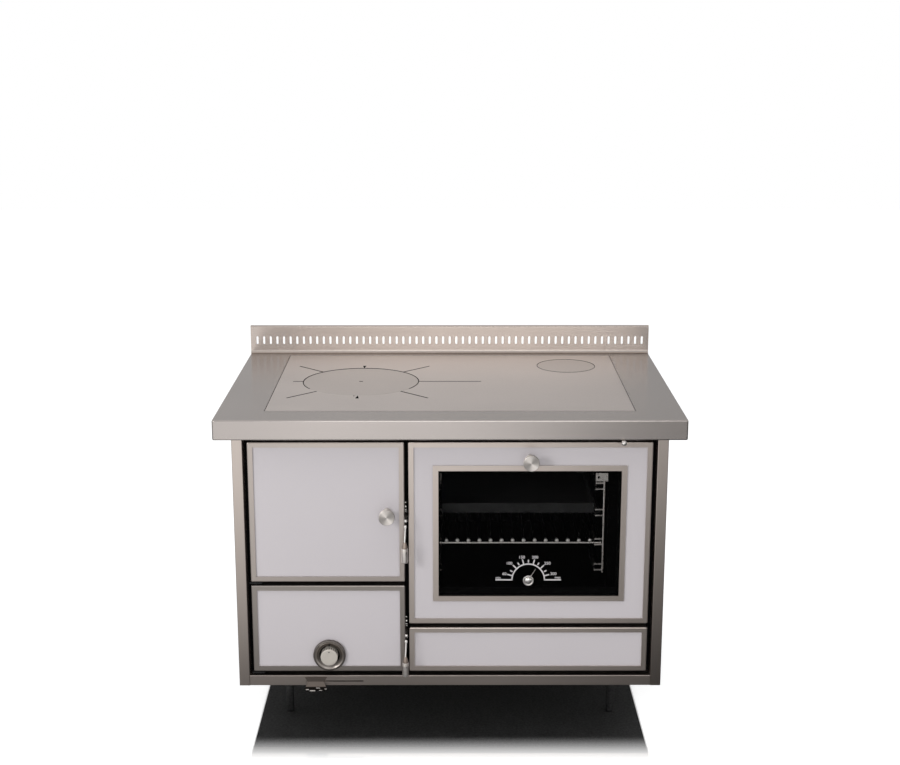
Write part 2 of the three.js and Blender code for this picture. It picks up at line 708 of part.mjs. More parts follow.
function addFacePlate() {
  const side = CASING_SIDE + PLATE_WING;
  let plate = box(-side, side, PLATE_FRONT, PLATE_BACK, BODY_FOOT + FIT, BODY_TOP - FIT);
  const openings = [
    insideOf(FIREBOX, FIREBOX_OPENING),
    insideOf(ASH, ASH_OPENING),
    insideOf(OVEN, OVEN_OPENING),
    insideOf(DRAWER, DRAWER_OPENING),
  ];
  for (const [x0, x1, z0, z1] of openings) {
    plate = cut(plate, box(x0, x1, PLATE_FRONT - CUT, PLATE_BACK + CUT, z0, z1));
  }
  const hole = [
    [DAMPER.x, PLATE_FRONT - CUT, DAMPER.z],
    [DAMPER.x, PLATE_BACK + CUT, DAMPER.z],
  ];
  plate = cut(plate, bar(...hole, DAMPER_ROD_RADIUS + RUN, 12));
  add(stove, "face_plate", plate, BLACK_SHEET);
}

const FLUE = { x: CASING_SIDE - FLUE_FROM_RIGHT, z: BODY_TOP - FLUE_DROP };

function addCasing() {
  const top = BODY_TOP - FIT;
  const inner = CASING_INNER - FIT;
  const back = BODY_BACK - CASING_SHEET;
  add(stove, "left_side_panel", box(-CASING_SIDE, -CASING_INNER, CASING_FRONT, BODY_BACK, BODY_FOOT, top), BLACK_SHEET);
  add(stove, "right_side_panel", box(CASING_INNER, CASING_SIDE, CASING_FRONT, BODY_BACK, BODY_FOOT, top), BLACK_SHEET);
  const base = box(-inner, inner, CASING_FRONT, back - FIT, BODY_FOOT, BODY_FOOT + CASING_SHEET);
  add(stove, "base_panel", base, BLACK_SHEET);
  const flueHole = bar(
    [FLUE.x, back - CUT, FLUE.z],
    [FLUE.x, BODY_BACK + CUT, FLUE.z],
    FLUE_RADIUS + FLUE_SHEET + FIT,
    48,
  );
  const rear = cut(box(-inner, inner, back, BODY_BACK, BODY_FOOT, top), flueHole);
  add(stove, "rear_panel", rear, BLACK_SHEET);

  const partition = box(
    PARTITION_LEFT,
    PARTITION_RIGHT,
    CASING_FRONT,
    back - FIT,
    BODY_FOOT + CASING_SHEET + FIT,
    BODY_TOP - PARTITION_TOP_DROP,
  );
  add(stove, "centre_partition", partition, BLACK_SHEET);
}

function addFlueCollar() {
  const inner = FLUE_RADIUS;
  const outer = FLUE_RADIUS + FLUE_SHEET;
  const flange = outer + FLUE_FLANGE_WIDTH;
  const seat = BODY_BACK + FIT;
  const collar = turned(
    [
      [inner, BODY_BACK - CASING_SHEET],
      [outer, BODY_BACK - CASING_SHEET],
      [outer, seat],
      [flange, seat],
      [flange, seat + FLUE_FLANGE_SHEET],
      [outer, seat + FLUE_FLANGE_SHEET],
      [outer, BODY_BACK + FLUE_REACH],
      [inner, BODY_BACK + FLUE_REACH],
      [inner, BODY_BACK - CASING_SHEET],
    ],
    48,
  );
  add(stove, "flue_collar", collar, CAST_IRON, [FLUE.x, 0, FLUE.z]);
}

function addFeet() {
  const top = BODY_FOOT - FIT;
  const foot = turnedUpright(
    [
      [0, 0],
      [FOOT_PAD_RADIUS, 0],
      [FOOT_PAD_RADIUS, FOOT_PAD_HEIGHT / 2],
      [FOOT_PAD_RADIUS * 0.7, FOOT_PAD_HEIGHT],
      [FOOT_STEM_RADIUS, FOOT_PAD_HEIGHT + 2],
      [FOOT_STEM_RADIUS, top],
      [0, top],
    ],
    20,
  );
  const x = CASING_SIDE - FOOT_SIDE_INSET;
  const rear = BODY_BACK - FOOT_REAR_INSET;
  const places = {
    front_left_foot: [-x, FOOT_FRONT_INSET, 0],
    front_right_foot: [x, FOOT_FRONT_INSET, 0],
    rear_left_foot: [-x, rear, 0],
    rear_right_foot: [x, rear, 0],
  };
  for (const [name, at] of Object.entries(places)) add(stove, name, foot, BLACK_SHEET, at);
}

// ---------------------------------------------------------------- firebox and ash compartment
function addFirebox() {
  const left = -CASING_INNER + FIT;
  const right = PARTITION_LEFT - FIT;
  const foot = BODY_FOOT + GRATE_RISE;
  const top = foot + GRATE_THICKNESS;
  let grate = box(left, right, CASING_FRONT, CASING_FRONT + GRATE_DEPTH, foot, top);
  const liningLeft = -CASING_INNER + LINING_GAP;
  const middle = (liningLeft + PARTITION_LEFT) / 2;
  const first = middle - ((GRATE_SLOTS - 1) * GRATE_SLOT_PITCH) / 2;
  const y = CASING_FRONT + GRATE_SLOT_FRONT;
  for (let i = 0; i < GRATE_SLOTS; i++) {
    const x = first + i * GRATE_SLOT_PITCH;
    const w = GRATE_SLOT_WIDTH / 2;
    grate = cut(grate, box(x - w, x + w, y, y + GRATE_SLOT_LENGTH, foot - CUT, top + CUT));
  }
  add(stove, "fire_grate", grate, CAST_IRON);

  const liningTop = BODY_TOP - LINING_TOP_DROP;
  const y1 = CASING_FRONT + LINING_DEPTH;
  const upright = box(liningLeft, right, CASING_FRONT, y1, top + FIT, BODY_TOP - PARTITION_TOP_DROP);
  const raised = box(liningLeft, right, y1 - LINING_WALL, y1, top + FIT, liningTop);
  const raisedLeft = box(liningLeft, liningLeft + LINING_WALL, CASING_FRONT, y1, top + FIT, liningTop);
  const chamber = box(
    liningLeft + LINING_WALL,
    right - LINING_WALL,
    CASING_FRONT - CUT,
    y1 - LINING_WALL,
    top - CUT,
    liningTop + CUT,
  );
  add(stove, "firebrick_lining", cut(join(upright, raised, raisedLeft), chamber), REFRACTORY);

  const shelfTop = BODY_FOOT + SHELF_RISE + SHELF_SHEET;
  const shelf = box(left, right, CASING_FRONT, CASING_FRONT + GRATE_DEPTH, shelfTop - SHELF_SHEET, shelfTop);
  add(stove, "ash_shelf", shelf, BLACK_SHEET);

  const w = PAN_WIDTH / 2;
  const s = PAN_SHEET;
  const tray = box(-w, w, 0, PAN_DEPTH, 0, PAN_HEIGHT);
  const inside = box(-w + s, w - s, s, PAN_DEPTH - s, s, PAN_HEIGHT + CUT);
  const lip = box(-w / 2, w / 2, -PAN_LIP, s / 2, PAN_HEIGHT - s, PAN_HEIGHT);
  const at = [ASH.x + ASH.w / 2, PAN_SETBACK + PAN_LIP, shelfTop + FIT];
  add(stove, "ash_pan", join(cut(tray, inside), lip), BLACK_SHEET, at);
}

// ---------------------------------------------------------------- oven box, racks and rails
const CAVITY = {
  x0: OVEN.x + OVEN_LEFT_INSET,
  x1: OVEN.x + OVEN.w - OVEN_RIGHT_INSET,
  y0: CASING_FRONT,
  y1: CASING_FRONT + OVEN_DEPTH,
  z0: OVEN.z + OVEN_FLOOR_RISE,
  z1: OVEN.z + OVEN.h - OVEN_CEILING_DROP,
};

function addOvenBox() {
  const { x0, x1, y0, y1, z0, z1 } = CAVITY;
  const s = OVEN_SHEET;
  const f = OVEN_FLANGE;
  const shell = box(x0 - s, x1 + s, y0, y1 + s, z0 - s, z1 + s);
  const flange = box(x0 - f, x1 + f, y0, y0 + s, z0 - f, z1 + f);
  const bypass = box(x1 - s, x1 + s, y0 + s, y1 + s, z1 + s / 2, DAMPER_SEAT);
  const lip = box(
    x1 - s,
    x1 + BYPASS_LIP,
    y0 + s,
    y1 + s,
    DAMPER_SEAT - s,
    DAMPER_SEAT,
  );
  const hollow = box(x0, x1, y0 - CUT, y1, z0, z1);
  const low = z0 + OVEN_STOP_RISE;
  const stop = box(x0 - s / 2, x1 + s / 2, y1 - OVEN_STOP_DEPTH, y1 + s / 2, low, low + OVEN_STOP_HEIGHT);
  const body = join(cut(join(shell, flange, bypass, lip), hollow), stop);
  add(stove, "oven_box", body, BLACK_SHEET);
}

function addRackRails() {
  const front = RAIL_FRONT;
  const rear = RAIL_FRONT + RAIL_LENGTH;
  const room = CAVITY.z1 - CAVITY.z0 - RUNNER_PAIR - BRACKET_HEIGHT * 1.25 - FIT;
  const rises = RUNNER_RISES.filter((rise) => rise < room).flatMap((rise) => [rise, rise + RUNNER_PAIR]);
  const top = CAVITY.z0 + Math.max(...rises);
  for (const [name, wall, inward] of [
    ["left_rack_rail", CAVITY.x0, 1],
    ["right_rack_rail", CAVITY.x1, -1],
  ]) {
    const post = wall + inward * POST_FROM_WALL;
    const tip = post + inward * PRONG_LENGTH;
    const foot = CAVITY.z0 + RAIL_FOOT_RISE;
    let rail = join(
      bar([post, front, foot], [post, front, top + BRACKET_HEIGHT], POST_RADIUS, 8),
      bar([post, rear, foot], [post, rear, top], POST_RADIUS, 8),
    );
    for (const rise of rises) {
      const z = CAVITY.z0 + rise;
      rail = join(
        rail,
        bar([post, front, z], [tip, front, z], WIRE_RADIUS, 6),
        bar([tip, front - WIRE_RADIUS, z], [tip, rear + WIRE_RADIUS, z], WIRE_RADIUS, 6),
        bar([tip, rear, z], [post, rear, z], WIRE_RADIUS, 6),
      );
    }
    // The bracket at the top of the front post hangs the rail on the cavity wall.
    const edge = wall + inward * FIT;
    const inner = wall + inward * BRACKET_WIDTH;
    const low = top + BRACKET_HEIGHT / 4;
    const bracket = box(
      Math.min(edge, inner),
      Math.max(edge, inner),
      front - BRACKET_SHEET,
      front,
      low,
      low + BRACKET_HEIGHT,
    );
    const eye = wall + inward * (BRACKET_WIDTH * 0.75);
    const z = low + BRACKET_HEIGHT / 2;
    const hole = bar([eye, front - CUT, z], [eye, front + CUT, z], BRACKET_HOLE_RADIUS, 12);
    add(stove, name, join(rail, cut(bracket, hole)), WIRE);
  }
}

function addOvenRack() {
  const seat = CAVITY.z0 + RUNNER_RISES[RACK_LEVEL] + WIRE_RADIUS + FIT;
  const r = RACK_FRAME_RADIUS;
  const side = POST_FROM_WALL + POST_RADIUS + RACK_PLAY + r;
  const x0 = CAVITY.x0 + side;
  const x1 = CAVITY.x1 - side;
  const e = RACK_WELD;
  const z = seat + r;
  const y0 = RAIL_FRONT;
  const y1 = RAIL_FRONT + RAIL_LENGTH - 3 * WIRE_RADIUS;
  let rack = join(
    bar([x0 - e, y0, z], [x1 + e, y0, z], r, 8),
    bar([x0 - e, y1, z], [x1 + e, y1, z], r, 8),
    bar([x0, y0 - e, z], [x0, y1 + e, z], r, 8),
    bar([x1, y0 - e, z], [x1, y1 + e, z], r, 8),
  );
  const middle = (x0 + x1) / 2;
  const lift = r + RACK_BAR_RADIUS - RACK_WELD;
  const end = r + RACK_WELD;
  const gaps = Math.floor((x1 - x0 - 2 * RACK_BAR_MARGIN) / RACK_BAR_PITCH);
  for (let i = 0; i <= gaps; i++) {
    const x = middle + (i - gaps / 2) * RACK_BAR_PITCH;
    rack = join(rack, bar([x, y0 - end, z + lift], [x, y1 + end, z + lift], RACK_BAR_RADIUS, 8));
  }
  add(stove, "oven_rack", rack, WIRE);
}

// ---------------------------------------------------------------- fronts
// The steel border of a door or drawer: a folded frame with a rounded front edge.
function trimFrame({ w, h }) {
  const face = TRIM_FACE;
  const s = TRIM_SHEET;
  return cut(
    roundedSlab(w, h, FRONT_DEPTH, TRIM_EDGE_RADIUS),
    box(face, w - face, -CUT, FRONT_DEPTH + CUT, face, h - face),
    box(s, w - s, s, FRONT_DEPTH + CUT, s, h - s),
  );
}

function sheetInside({ w, h }, y0, y1) {
  const e = INNER_EDGE;
  return box(e, w - e, y0, y1, e, h - e);
}

const enamelSheet = (front) => sheetInside(front, PANEL_FRONT, PANEL_BACK);
const linerSheet = (front) => sheetInside(front, LINER_FRONT, LINER_BACK);

// A turned disc knob with its foot on the enamel.
function knob() {
  const foot = PANEL_FRONT - FIT;
  const face = -KNOB_REACH;
  return turned(
    [
      [0, foot],
      [KNOB_NECK_RADIUS + 2, foot],
      [KNOB_NECK_RADIUS + 2, foot - 2.5],
      [KNOB_NECK_RADIUS, foot - 4],
      [KNOB_NECK_RADIUS, face + KNOB_DISC + 5],
      [KNOB_RADIUS - 1, face + KNOB_DISC],
      [KNOB_RADIUS, face + KNOB_DISC - 1.5],
      [KNOB_RADIUS, face + 1],
      [KNOB_RADIUS - 1, face],
      [0, face],
    ],
    32,
  );
}

// Holes for the pins that carry a left door.
function pinHoles({ h }) {
  return bar(
    [HINGE_INSET, HINGE_DEPTH, -CUT],
    [HINGE_INSET, HINGE_DEPTH, h + CUT],
    HINGE_PIN_RADIUS + RUN,
    16,
  );
}

// The ear on a left door's liner that carries the latch lever in the centre gap.
function latchEar({ w }, z) {
  const y0 = FRONT_DEPTH + FIT;
  const e = EAR_HEIGHT / 2;
  const plate = box(w - EAR_OVERLAP, w + EAR_REACH, y0, y0 + EAR_THICKNESS, z - e, z + e);
  const foot = box(w - EAR_OVERLAP, w - INNER_EDGE - 1, LINER_BACK - 1, y0 + 0.2, z - e, z + e);
  const hole = bar(
    [w + LEVER_OFFSET, y0 - CUT, z],
    [w + LEVER_OFFSET, y0 + CUT + EAR_THICKNESS, z],
    LEVER_RADIUS + RUN,
    16,
  );
  return cut(join(plate, foot), hole);
}

function addLatch(group, prefix, { w }, z) {
  const x = w + LEVER_OFFSET;
  const camFront = FRONT_DEPTH + FIT + EAR_THICKNESS + FIT;
  const camBack = camFront + CAM_THICKNESS;
  const gripX = -GRIP_SHIFT;
  const bend = [0, -LEVER_STAND_OFF, 0];
  const heel = [gripX, -GRIP_STAND_OFF, -STEM_DROP];
  const gripTop = -STEM_DROP - COLLAR_LENGTH - FIT;
  const boreFoot = gripTop - GRIP_BORE_DEPTH;
  const collar = turnedUpright(
    [
      [0, gripTop + FIT],
      [COLLAR_RADIUS, gripTop + FIT],
      [COLLAR_RADIUS, gripTop + 3],
      [LEVER_RADIUS, -STEM_DROP + 1],
      [0, -STEM_DROP + 1],
    ],
    16,
  );
  const lever = join(
    bar([0, camBack, 0], bend, LEVER_RADIUS, 12),
    ball(bend, LEVER_RADIUS + 0.4),
    bar(bend, heel, LEVER_RADIUS, 12),
    collar.translate([gripX, -GRIP_STAND_OFF, 0]),
    bar(heel, [gripX, -GRIP_STAND_OFF, boreFoot + 1], LEVER_RADIUS, 12),
    box(-CAM_WIDTH / 2, CAM_WIDTH / 2, camFront, camBack, -CAM_REACH, CAM_WIDTH / 2),
  );
  add(group, prefix + "_latch_lever", lever, CHROME, [x, 0, z]);

  const r = GRIP_RADIUS;
  const foot = gripTop - GRIP_LENGTH;
  const grip = turnedUpright(
    [
      [0, foot],
      [r - 2.4, foot],
      [r - 0.8, foot + 1.2],
      [r, foot + 3.5],
      [r, gripTop - 1],
      [r - 1, gripTop],
      [LEVER_RADIUS + RUN, gripTop],
      [LEVER_RADIUS + RUN, boreFoot],
      [0, boreFoot],
    ],
    24,
  );
  add(group, prefix + "_latch_grip", grip, CHROME, [x + gripX, -GRIP_STAND_OFF, z]);
}

function addFireboxDoor() {
  const group = groupAt(FIREBOX);
  const { w, h } = FIREBOX;
  add(group, "firebox_door_trim", cut(trimFrame(FIREBOX), pinHoles(FIREBOX)), STEEL);
  add(group, "firebox_door_panel", enamelSheet(FIREBOX), ENAMEL);
  add(group, "firebox_door_liner", join(linerSheet(FIREBOX), latchEar(FIREBOX, LEVER_RISE.firebox)), BLACK_SHEET);
  const y0 = LINER_BACK + FIT;
  const y1 = PLATE_FRONT - FIT;
  const i = SEAL_INSET;
  const e = SEAL_END_INSET;
  const s = SEAL_WIDTH;
  const seal = cut(
    box(i, w - i, y0, y1, e, h - e),
    box(i + s, w - i - s, y0 - CUT, y1 + CUT, e + s, h - e - s),
  );
  add(group, "firebox_door_seal", seal, ROPE);
  add(group, "firebox_door_knob", knob(), STEEL, [w - FIREBOX_KNOB_FROM_EDGE, 0, FIREBOX_KNOB_RISE]);
  addLatch(group, "firebox", FIREBOX, LEVER_RISE.firebox);
}

// The raised ring round the air dial, with its two webs down to the border below it.
function dialRing() {
  const back = TRIM_SHEET;
  const inner = DIAL_RECESS_RADIUS;
  const outer = DIAL_RING_RADIUS;
  const crest = -DIAL_RING_REACH;
  return turned(
    [
      [inner, back],
      [outer, back],
      [outer, crest + 3.5],
      [outer - 1.2, crest + 1],
      [outer - 3.2, crest],
      [outer - 5.5, crest + 1.2],
      [inner + 2, crest + 3],
      [inner, crest + 3.6],
      [inner, back],
    ],
    48,
  );
}

function addAshDoor() {
  const group = groupAt(ASH);
  const x = ASH.w / 2;
  const z = DIAL_RISE;
  const web = extrudeDepth(
    outline([
      [x - DIAL_WEB_HALF_WIDTH, TRIM_FACE - 1],
      [x + DIAL_WEB_HALF_WIDTH, TRIM_FACE - 1],
      [x + DIAL_WEB_TOP_HALF_WIDTH, DIAL_WEB_RISE],
      [x - DIAL_WEB_TOP_HALF_WIDTH, DIAL_WEB_RISE],
    ]),
    0,
    TRIM_SHEET,
  );
  const recess = (r) => bar([x, -CUT - DIAL_RING_REACH, z], [x, PANEL_BACK + CUT, z], r, 48);
  const r = DIAL_RECESS_RADIUS;
  const pointer = extrudeDepth(
    outline([
      [x - POINTER_WIDTH / 2, z + r - 0.5],
      [x + POINTER_WIDTH / 2, z + r - 0.5],
      [x, z + r + POINTER_HEIGHT],
    ]),
    -CUT - DIAL_RING_REACH,
    PANEL_FRONT,
  );
  const frame = cut(join(trimFrame(ASH), web), recess(r));
  const ring = cut(dialRing().translate([x, 0, z]), pointer);
  add(group, "ash_door_trim", cut(join(frame, ring), pinHoles(ASH)), STEEL);
  add(group, "ash_door_panel", cut(enamelSheet(ASH), recess(r + 1)), ENAMEL);
  const shaftHole = bar([x, LINER_FRONT - CUT, z], [x, LINER_BACK + CUT, z], DIAL_SHAFT_RADIUS + RUN, 16);
  add(group, "ash_door_liner", cut(join(linerSheet(ASH), latchEar(ASH, LEVER_RISE.ash)), shaftHole), BLACK_SHEET);

  const R = DIAL_KNOB_RADIUS;
  const face = -DIAL_KNOB_REACH;
  const dial = turned(
    [
      [0, LINER_BACK + 2],
      [DIAL_SHAFT_RADIUS, LINER_BACK + 2],
      [DIAL_SHAFT_RADIUS, PANEL_BACK],
      [R, PANEL_BACK],
      [R, face + 1.5],
      [R - 1.5, face],
      [0, face - 0.6],
    ],
    40,
  );
  add(group, "air_dial_knob", dial, STEEL, [x, 0, z]);
  addLatch(group, "ash", ASH, LEVER_RISE.ash);
}

// Leaves on the face plate whose pins carry the two left doors.
function addDoorHinges() {
  const x = LEFT_X + HINGE_INSET;
  const half = HINGE_LEAF_WIDTH / 2;
  const y0 = HINGE_DEPTH - HINGE_LEAF_NOSE;
  const y1 = PLATE_FRONT - FIT;
  const leaves = {
    upper_hinge: [FRONTS_TOP, TOP_GAP, false, true],
    middle_hinge: [FIREBOX.z - LEFT_ROW_GAP, LEFT_ROW_GAP, true, true],
    lower_hinge: [FRONTS_FOOT - BOTTOM_GAP, BOTTOM_GAP, true, false],
  };
  for (const [name, [foot, gap, up, down]] of Object.entries(leaves)) {
    const z0 = foot + (gap - HINGE_LEAF) / 2;
    const z1 = z0 + HINGE_LEAF;
    const low = down ? foot - HINGE_PIN_REACH : z0;
    const high = up ? foot + gap + HINGE_PIN_REACH : z1;
    const leaf = box(x - half, x + half, y0, y1, z0, z1);
    const pin = bar([x, HINGE_DEPTH, low], [x, HINGE_DEPTH, high], HINGE_PIN_RADIUS, 16);
    add(stove, name, join(leaf, pin), BLACK_SHEET);
  }
}

// ---------------------------------------------------------------- oven door
const WINDOW = {
  x0: WINDOW_SIDE_LEFT,
  x1: OVEN.w - WINDOW_SIDE_RIGHT,
  z0: WINDOW_BELOW,
  z1: OVEN.h - WINDOW_ABOVE,
};

const grown = ({ x0, x1, z0, z1 }, by, y0, y1) => box(x0 - by, x1 + by, y0, y1, z0 - by, z1 + by);

// Each side's hinge as [arm's low x, pin direction, arm's side of the lug].
const OVEN_ARMS = {
  left_oven_hinge: { arm: OVEN_ARM_FROM_EDGE, into: 1 },
  right_oven_hinge: { arm: OVEN.w - OVEN_ARM_FROM_EDGE - OVEN_ARM_THICKNESS, into: -1 },
};
const lugStart = ({ arm, into }) =>
  into > 0 ? arm + OVEN_ARM_THICKNESS + OVEN_LUG_GAP : arm - OVEN_LUG_GAP - OVEN_LUG_THICKNESS;

// Room in the door's border and liner for the arms as the door swings down round them.
function armNotches() {
  const c = OVEN_ARM_CLEARANCE;
  const top = OVEN_HINGE_RISE + OVEN_ARM_RADIUS + c;
  return Object.values(OVEN_ARMS).map(({ arm }) =>
    box(arm - c, arm + OVEN_ARM_THICKNESS + c, PANEL_BACK, FRONT_DEPTH + CUT, -CUT, top),
  );
}

function addOvenDoor() {
  const group = groupAt(OVEN);
  const opening = {
    x0: WINDOW.x0 + WINDOW_BAR,
    x1: WINDOW.x1 - WINDOW_BAR,
    z0: WINDOW.z0 + WINDOW_BAR,
    z1: WINDOW.z1 - WINDOW_BAR,
  };
  add(group, "oven_door_trim", cut(trimFrame(OVEN), ...armNotches()), STEEL);

  const s = WINDOW_SHEET;
  const hole = grown(opening, s + FIT, -CUT, LINER_FRONT);
  add(group, "oven_door_panel", cut(enamelSheet(OVEN), hole), ENAMEL);

  const face = WINDOW_FACE_SETBACK;
  const glassFront = PANEL_BACK + s;
  const frame = cut(
    join(
      grown(WINDOW, 0, face, PANEL_FRONT - FIT),
      grown(opening, s, face, glassFront - FIT),
    ),
    grown(opening, 0, -CUT, glassFront + CUT),
  );
  add(group, "oven_window_frame", frame, STEEL);
  add(group, "oven_door_glass", grown(opening, GLASS_LAP, glassFront, glassFront + GLASS_THICKNESS), GLASS);

  const view = {
    x0: opening.x0 + LINER_WINDOW.left,
    x1: opening.x1 - LINER_WINDOW.right,
    z0: opening.z0 + LINER_WINDOW.low,
    z1: opening.z1 - LINER_WINDOW.high,
  };
  const innerFront = LINER_FRONT - FIT - GLASS_THICKNESS;
  add(group, "oven_inner_glass", grown(view, GLASS_LAP, innerFront, innerFront + GLASS_THICKNESS), GLASS);

  const z = OVEN_HINGE_RISE;
  const y = OVEN_HINGE_DEPTH;
  const r = OVEN_ARM_RADIUS;
  const lugs = Object.values(OVEN_ARMS).map((hinge) => {
    const x = lugStart(hinge);
    const t = OVEN_LUG_THICKNESS;
    const plate = join(bar([x, y, z], [x + t, y, z], r, 20), box(x, x + t, y, LINER_BACK - 0.5, z - r, z + r));
    const bore = bar([x - CUT, y, z], [x + t + CUT, y, z], OVEN_HINGE_PIN_RADIUS + RUN, 20);
    return cut(plate, bore);
  });
  const sheet = cut(linerSheet(OVEN), grown(view, 0, LINER_FRONT - CUT, LINER_BACK + CUT), ...armNotches());
  add(group, "oven_door_liner", join(sheet, ...lugs), BLACK_SHEET);

  const knobAt = [OVEN.w / 2, 0, OVEN.h - OVEN_KNOB_DROP];
  add(group, "oven_door_knob", knob(), STEEL, knobAt);
  addThermometer(group, glassFront);
}

function addThermometer(group, glassFront) {
  const at = [THERMOMETER_FROM_LEFT, 0, THERMOMETER_RISE];
  const back = glassFront - FIT;
  const stemFront = back - 3;
  const crown = back - BOSS_REACH;
  const R = BOSS_RADIUS;
  const boss = turned(
    [
      [0, back],
      [BOSS_STEM_RADIUS, back],
      [BOSS_STEM_RADIUS, stemFront],
      [R, stemFront],
      [R, stemFront - 1.5],
      [R * 0.86, crown + 1.4],
      [R * 0.5, crown + 0.3],
      [0, crown],
    ],
    32,
  );
  add(group, "thermometer_boss", boss, CHROME, at);

  const y1 = back - 1;
  const y0 = y1 - NEEDLE_SHEET;
  const w = NEEDLE_WIDTH / 2;
  const pointer = outline([
    [-w, 0],
    [w, 0],
    [w / 3, NEEDLE_LENGTH],
    [-w / 3, NEEDLE_LENGTH],
  ]);
  const hub = cut(
    bar([0, y0, 0], [0, y1, 0], NEEDLE_HUB_RADIUS, 20),
    bar([0, y0 - CUT, 0], [0, y1 + CUT, 0], BOSS_STEM_RADIUS + RUN, 16),
  );
  const tip = cut(
    extrudeDepth(pointer, y0, y1),
    bar([0, y0 - CUT, 0], [0, y1 + CUT, 0], BOSS_STEM_RADIUS + 1, 16),
  );
  const turn = new THREE.Matrix4().makeRotationY(THREE.MathUtils.degToRad(NEEDLE_ANGLE));
  const needle = solid(geometryOf(join(hub, tip)).applyMatrix4(turn));
  add(group, "thermometer_needle", needle, WIRE, at);
}

function addOvenHinges() {
  const z = OVEN.z + OVEN_HINGE_RISE;
  const y = OVEN_HINGE_DEPTH;
  const r = OVEN_ARM_RADIUS;
  const t = OVEN_ARM_THICKNESS;
  for (const [name, hinge] of Object.entries(OVEN_ARMS)) {
    const x = OVEN.x + hinge.arm;
    const far = OVEN.x + lugStart(hinge) + (hinge.into > 0 ? OVEN_LUG_THICKNESS : 0);
    const arm = join(
      bar([x, y, z], [x + t, y, z], r, 20),
      box(x, x + t, y, PLATE_FRONT - FIT, z - r, z + r),
      bar([hinge.into > 0 ? x : x + t, y, z], [far, y, z], OVEN_HINGE_PIN_RADIUS, 20),
    );
    add(stove, name, arm, CAST_IRON);
  }
}

// ---------------------------------------------------------------- drawer
function addDrawer() {
  const group = groupAt(DRAWER);
  const { w } = DRAWER;
  add(group, "drawer_trim", trimFrame(DRAWER), STEEL);
  add(group, "drawer_panel", enamelSheet(DRAWER), ENAMEL);
  const s = TRAY_SHEET;
  const i = TRAY_SIDE_INSET;
  const y1 = LINER_BACK + TRAY_DEPTH;
  const top = TRAY_RISE + TRAY_HEIGHT;
  const tray = cut(
    join(linerSheet(DRAWER), box(i, w - i, LINER_FRONT, y1, TRAY_RISE, top)),
    box(i + s, w - i - s, LINER_BACK, y1 - s, TRAY_RISE + s, top + CUT),
  );
  add(group, "drawer_tray", tray, BLACK_SHEET);

  const flangeTop = DRAWER.z + TRAY_RISE - FIT;
  const foot = flangeTop - RUNNER_SHEET;
  const back = BODY_BACK - CASING_SHEET - FIT;
  const left = DRAWER.x + TRAY_SIDE_INSET - FIT;
  const right = DRAWER.x + w - TRAY_SIDE_INSET + FIT;
  const t = RUNNER_SHEET;
  const cradle = join(
    box(left - t, left, CASING_FRONT, back, foot, foot + RUNNER_WEB),
    box(left - t, left + RUNNER_FLANGE, CASING_FRONT, back, foot, flangeTop),
    box(right, right + t, CASING_FRONT, back, foot, foot + RUNNER_WEB),
    box(right - RUNNER_FLANGE, right + t, CASING_FRONT, back, foot, flangeTop),
    box(left - t, right + t, back - t, back, foot, foot + RUNNER_WEB),
  );
  add(stove, "drawer_runners", cradle, BLACK_SHEET);
}

// ---------------------------------------------------------------- air slider and smoke damper
function addAirSlider() {
  const slotX = -RAIL_SIDE + SLIDER_SLOT_FROM_LEFT;
  const x = slotX + SLIDER_REST;
  const z = BODY_FOOT + SLIDER_SLOT_RISE;
  const w = SLIDER_WAIST / 2;
  const f = SLIDER_FLARE / 2;
  const s = SLIDER_SHEET;
  const tabFront = -1 - s;
  const upper = extrudeDepth(
    outline([
      [-w, -s / 2],
      [w, -s / 2],
      [f, SLIDER_UPPER],
      [-f, SLIDER_UPPER],
    ]),
    tabFront,
    -1,
  );
  const flap = new THREE.ExtrudeGeometry(
    outline([
      [-w, 0],
      [-f, -SLIDER_LOWER],
      [f, -SLIDER_LOWER],
      [w, 0],
    ]),
    { depth: s, bevelEnabled: false },
  )
    .rotateX(Math.PI / 2)
    .translate(0, s, 0)
    .rotateX(-THREE.MathUtils.degToRad(SLIDER_LEAN))
    .translate(0, tabFront, 0);
  const lean = THREE.MathUtils.degToRad(SLIDER_LEAN);
  const rollY = tabFront - SLIDER_LOWER * Math.sin(lean);
  const rollZ = -SLIDER_LOWER * Math.cos(lean);
  const roll = bar([-f + 2, rollY, rollZ], [f - 2, rollY, rollZ], SLIDER_ROLL_RADIUS, 16);
  const half = SLIDER_SLOT_HEIGHT / 2 - FIT;
  const gateFront = FRAME_SHEET + FIT;
  const tongue = box(-w, w, -1 - s / 2, gateFront + 0.5, -half, half);
  const gate = box(
    -w - 6,
    w + 6,
    gateFront,
    gateFront + SLIDER_GATE_SHEET,
    -SLIDER_SLOT_RISE + FRAME_SHEET + FIT,
    RAIL_HEIGHT - SLIDER_SLOT_RISE - FRAME_SHEET - FIT,
  );
  add(stove, "air_slider", join(upper, solid(flap), roll, tongue, gate), STEEL, [x, 0, z]);
}

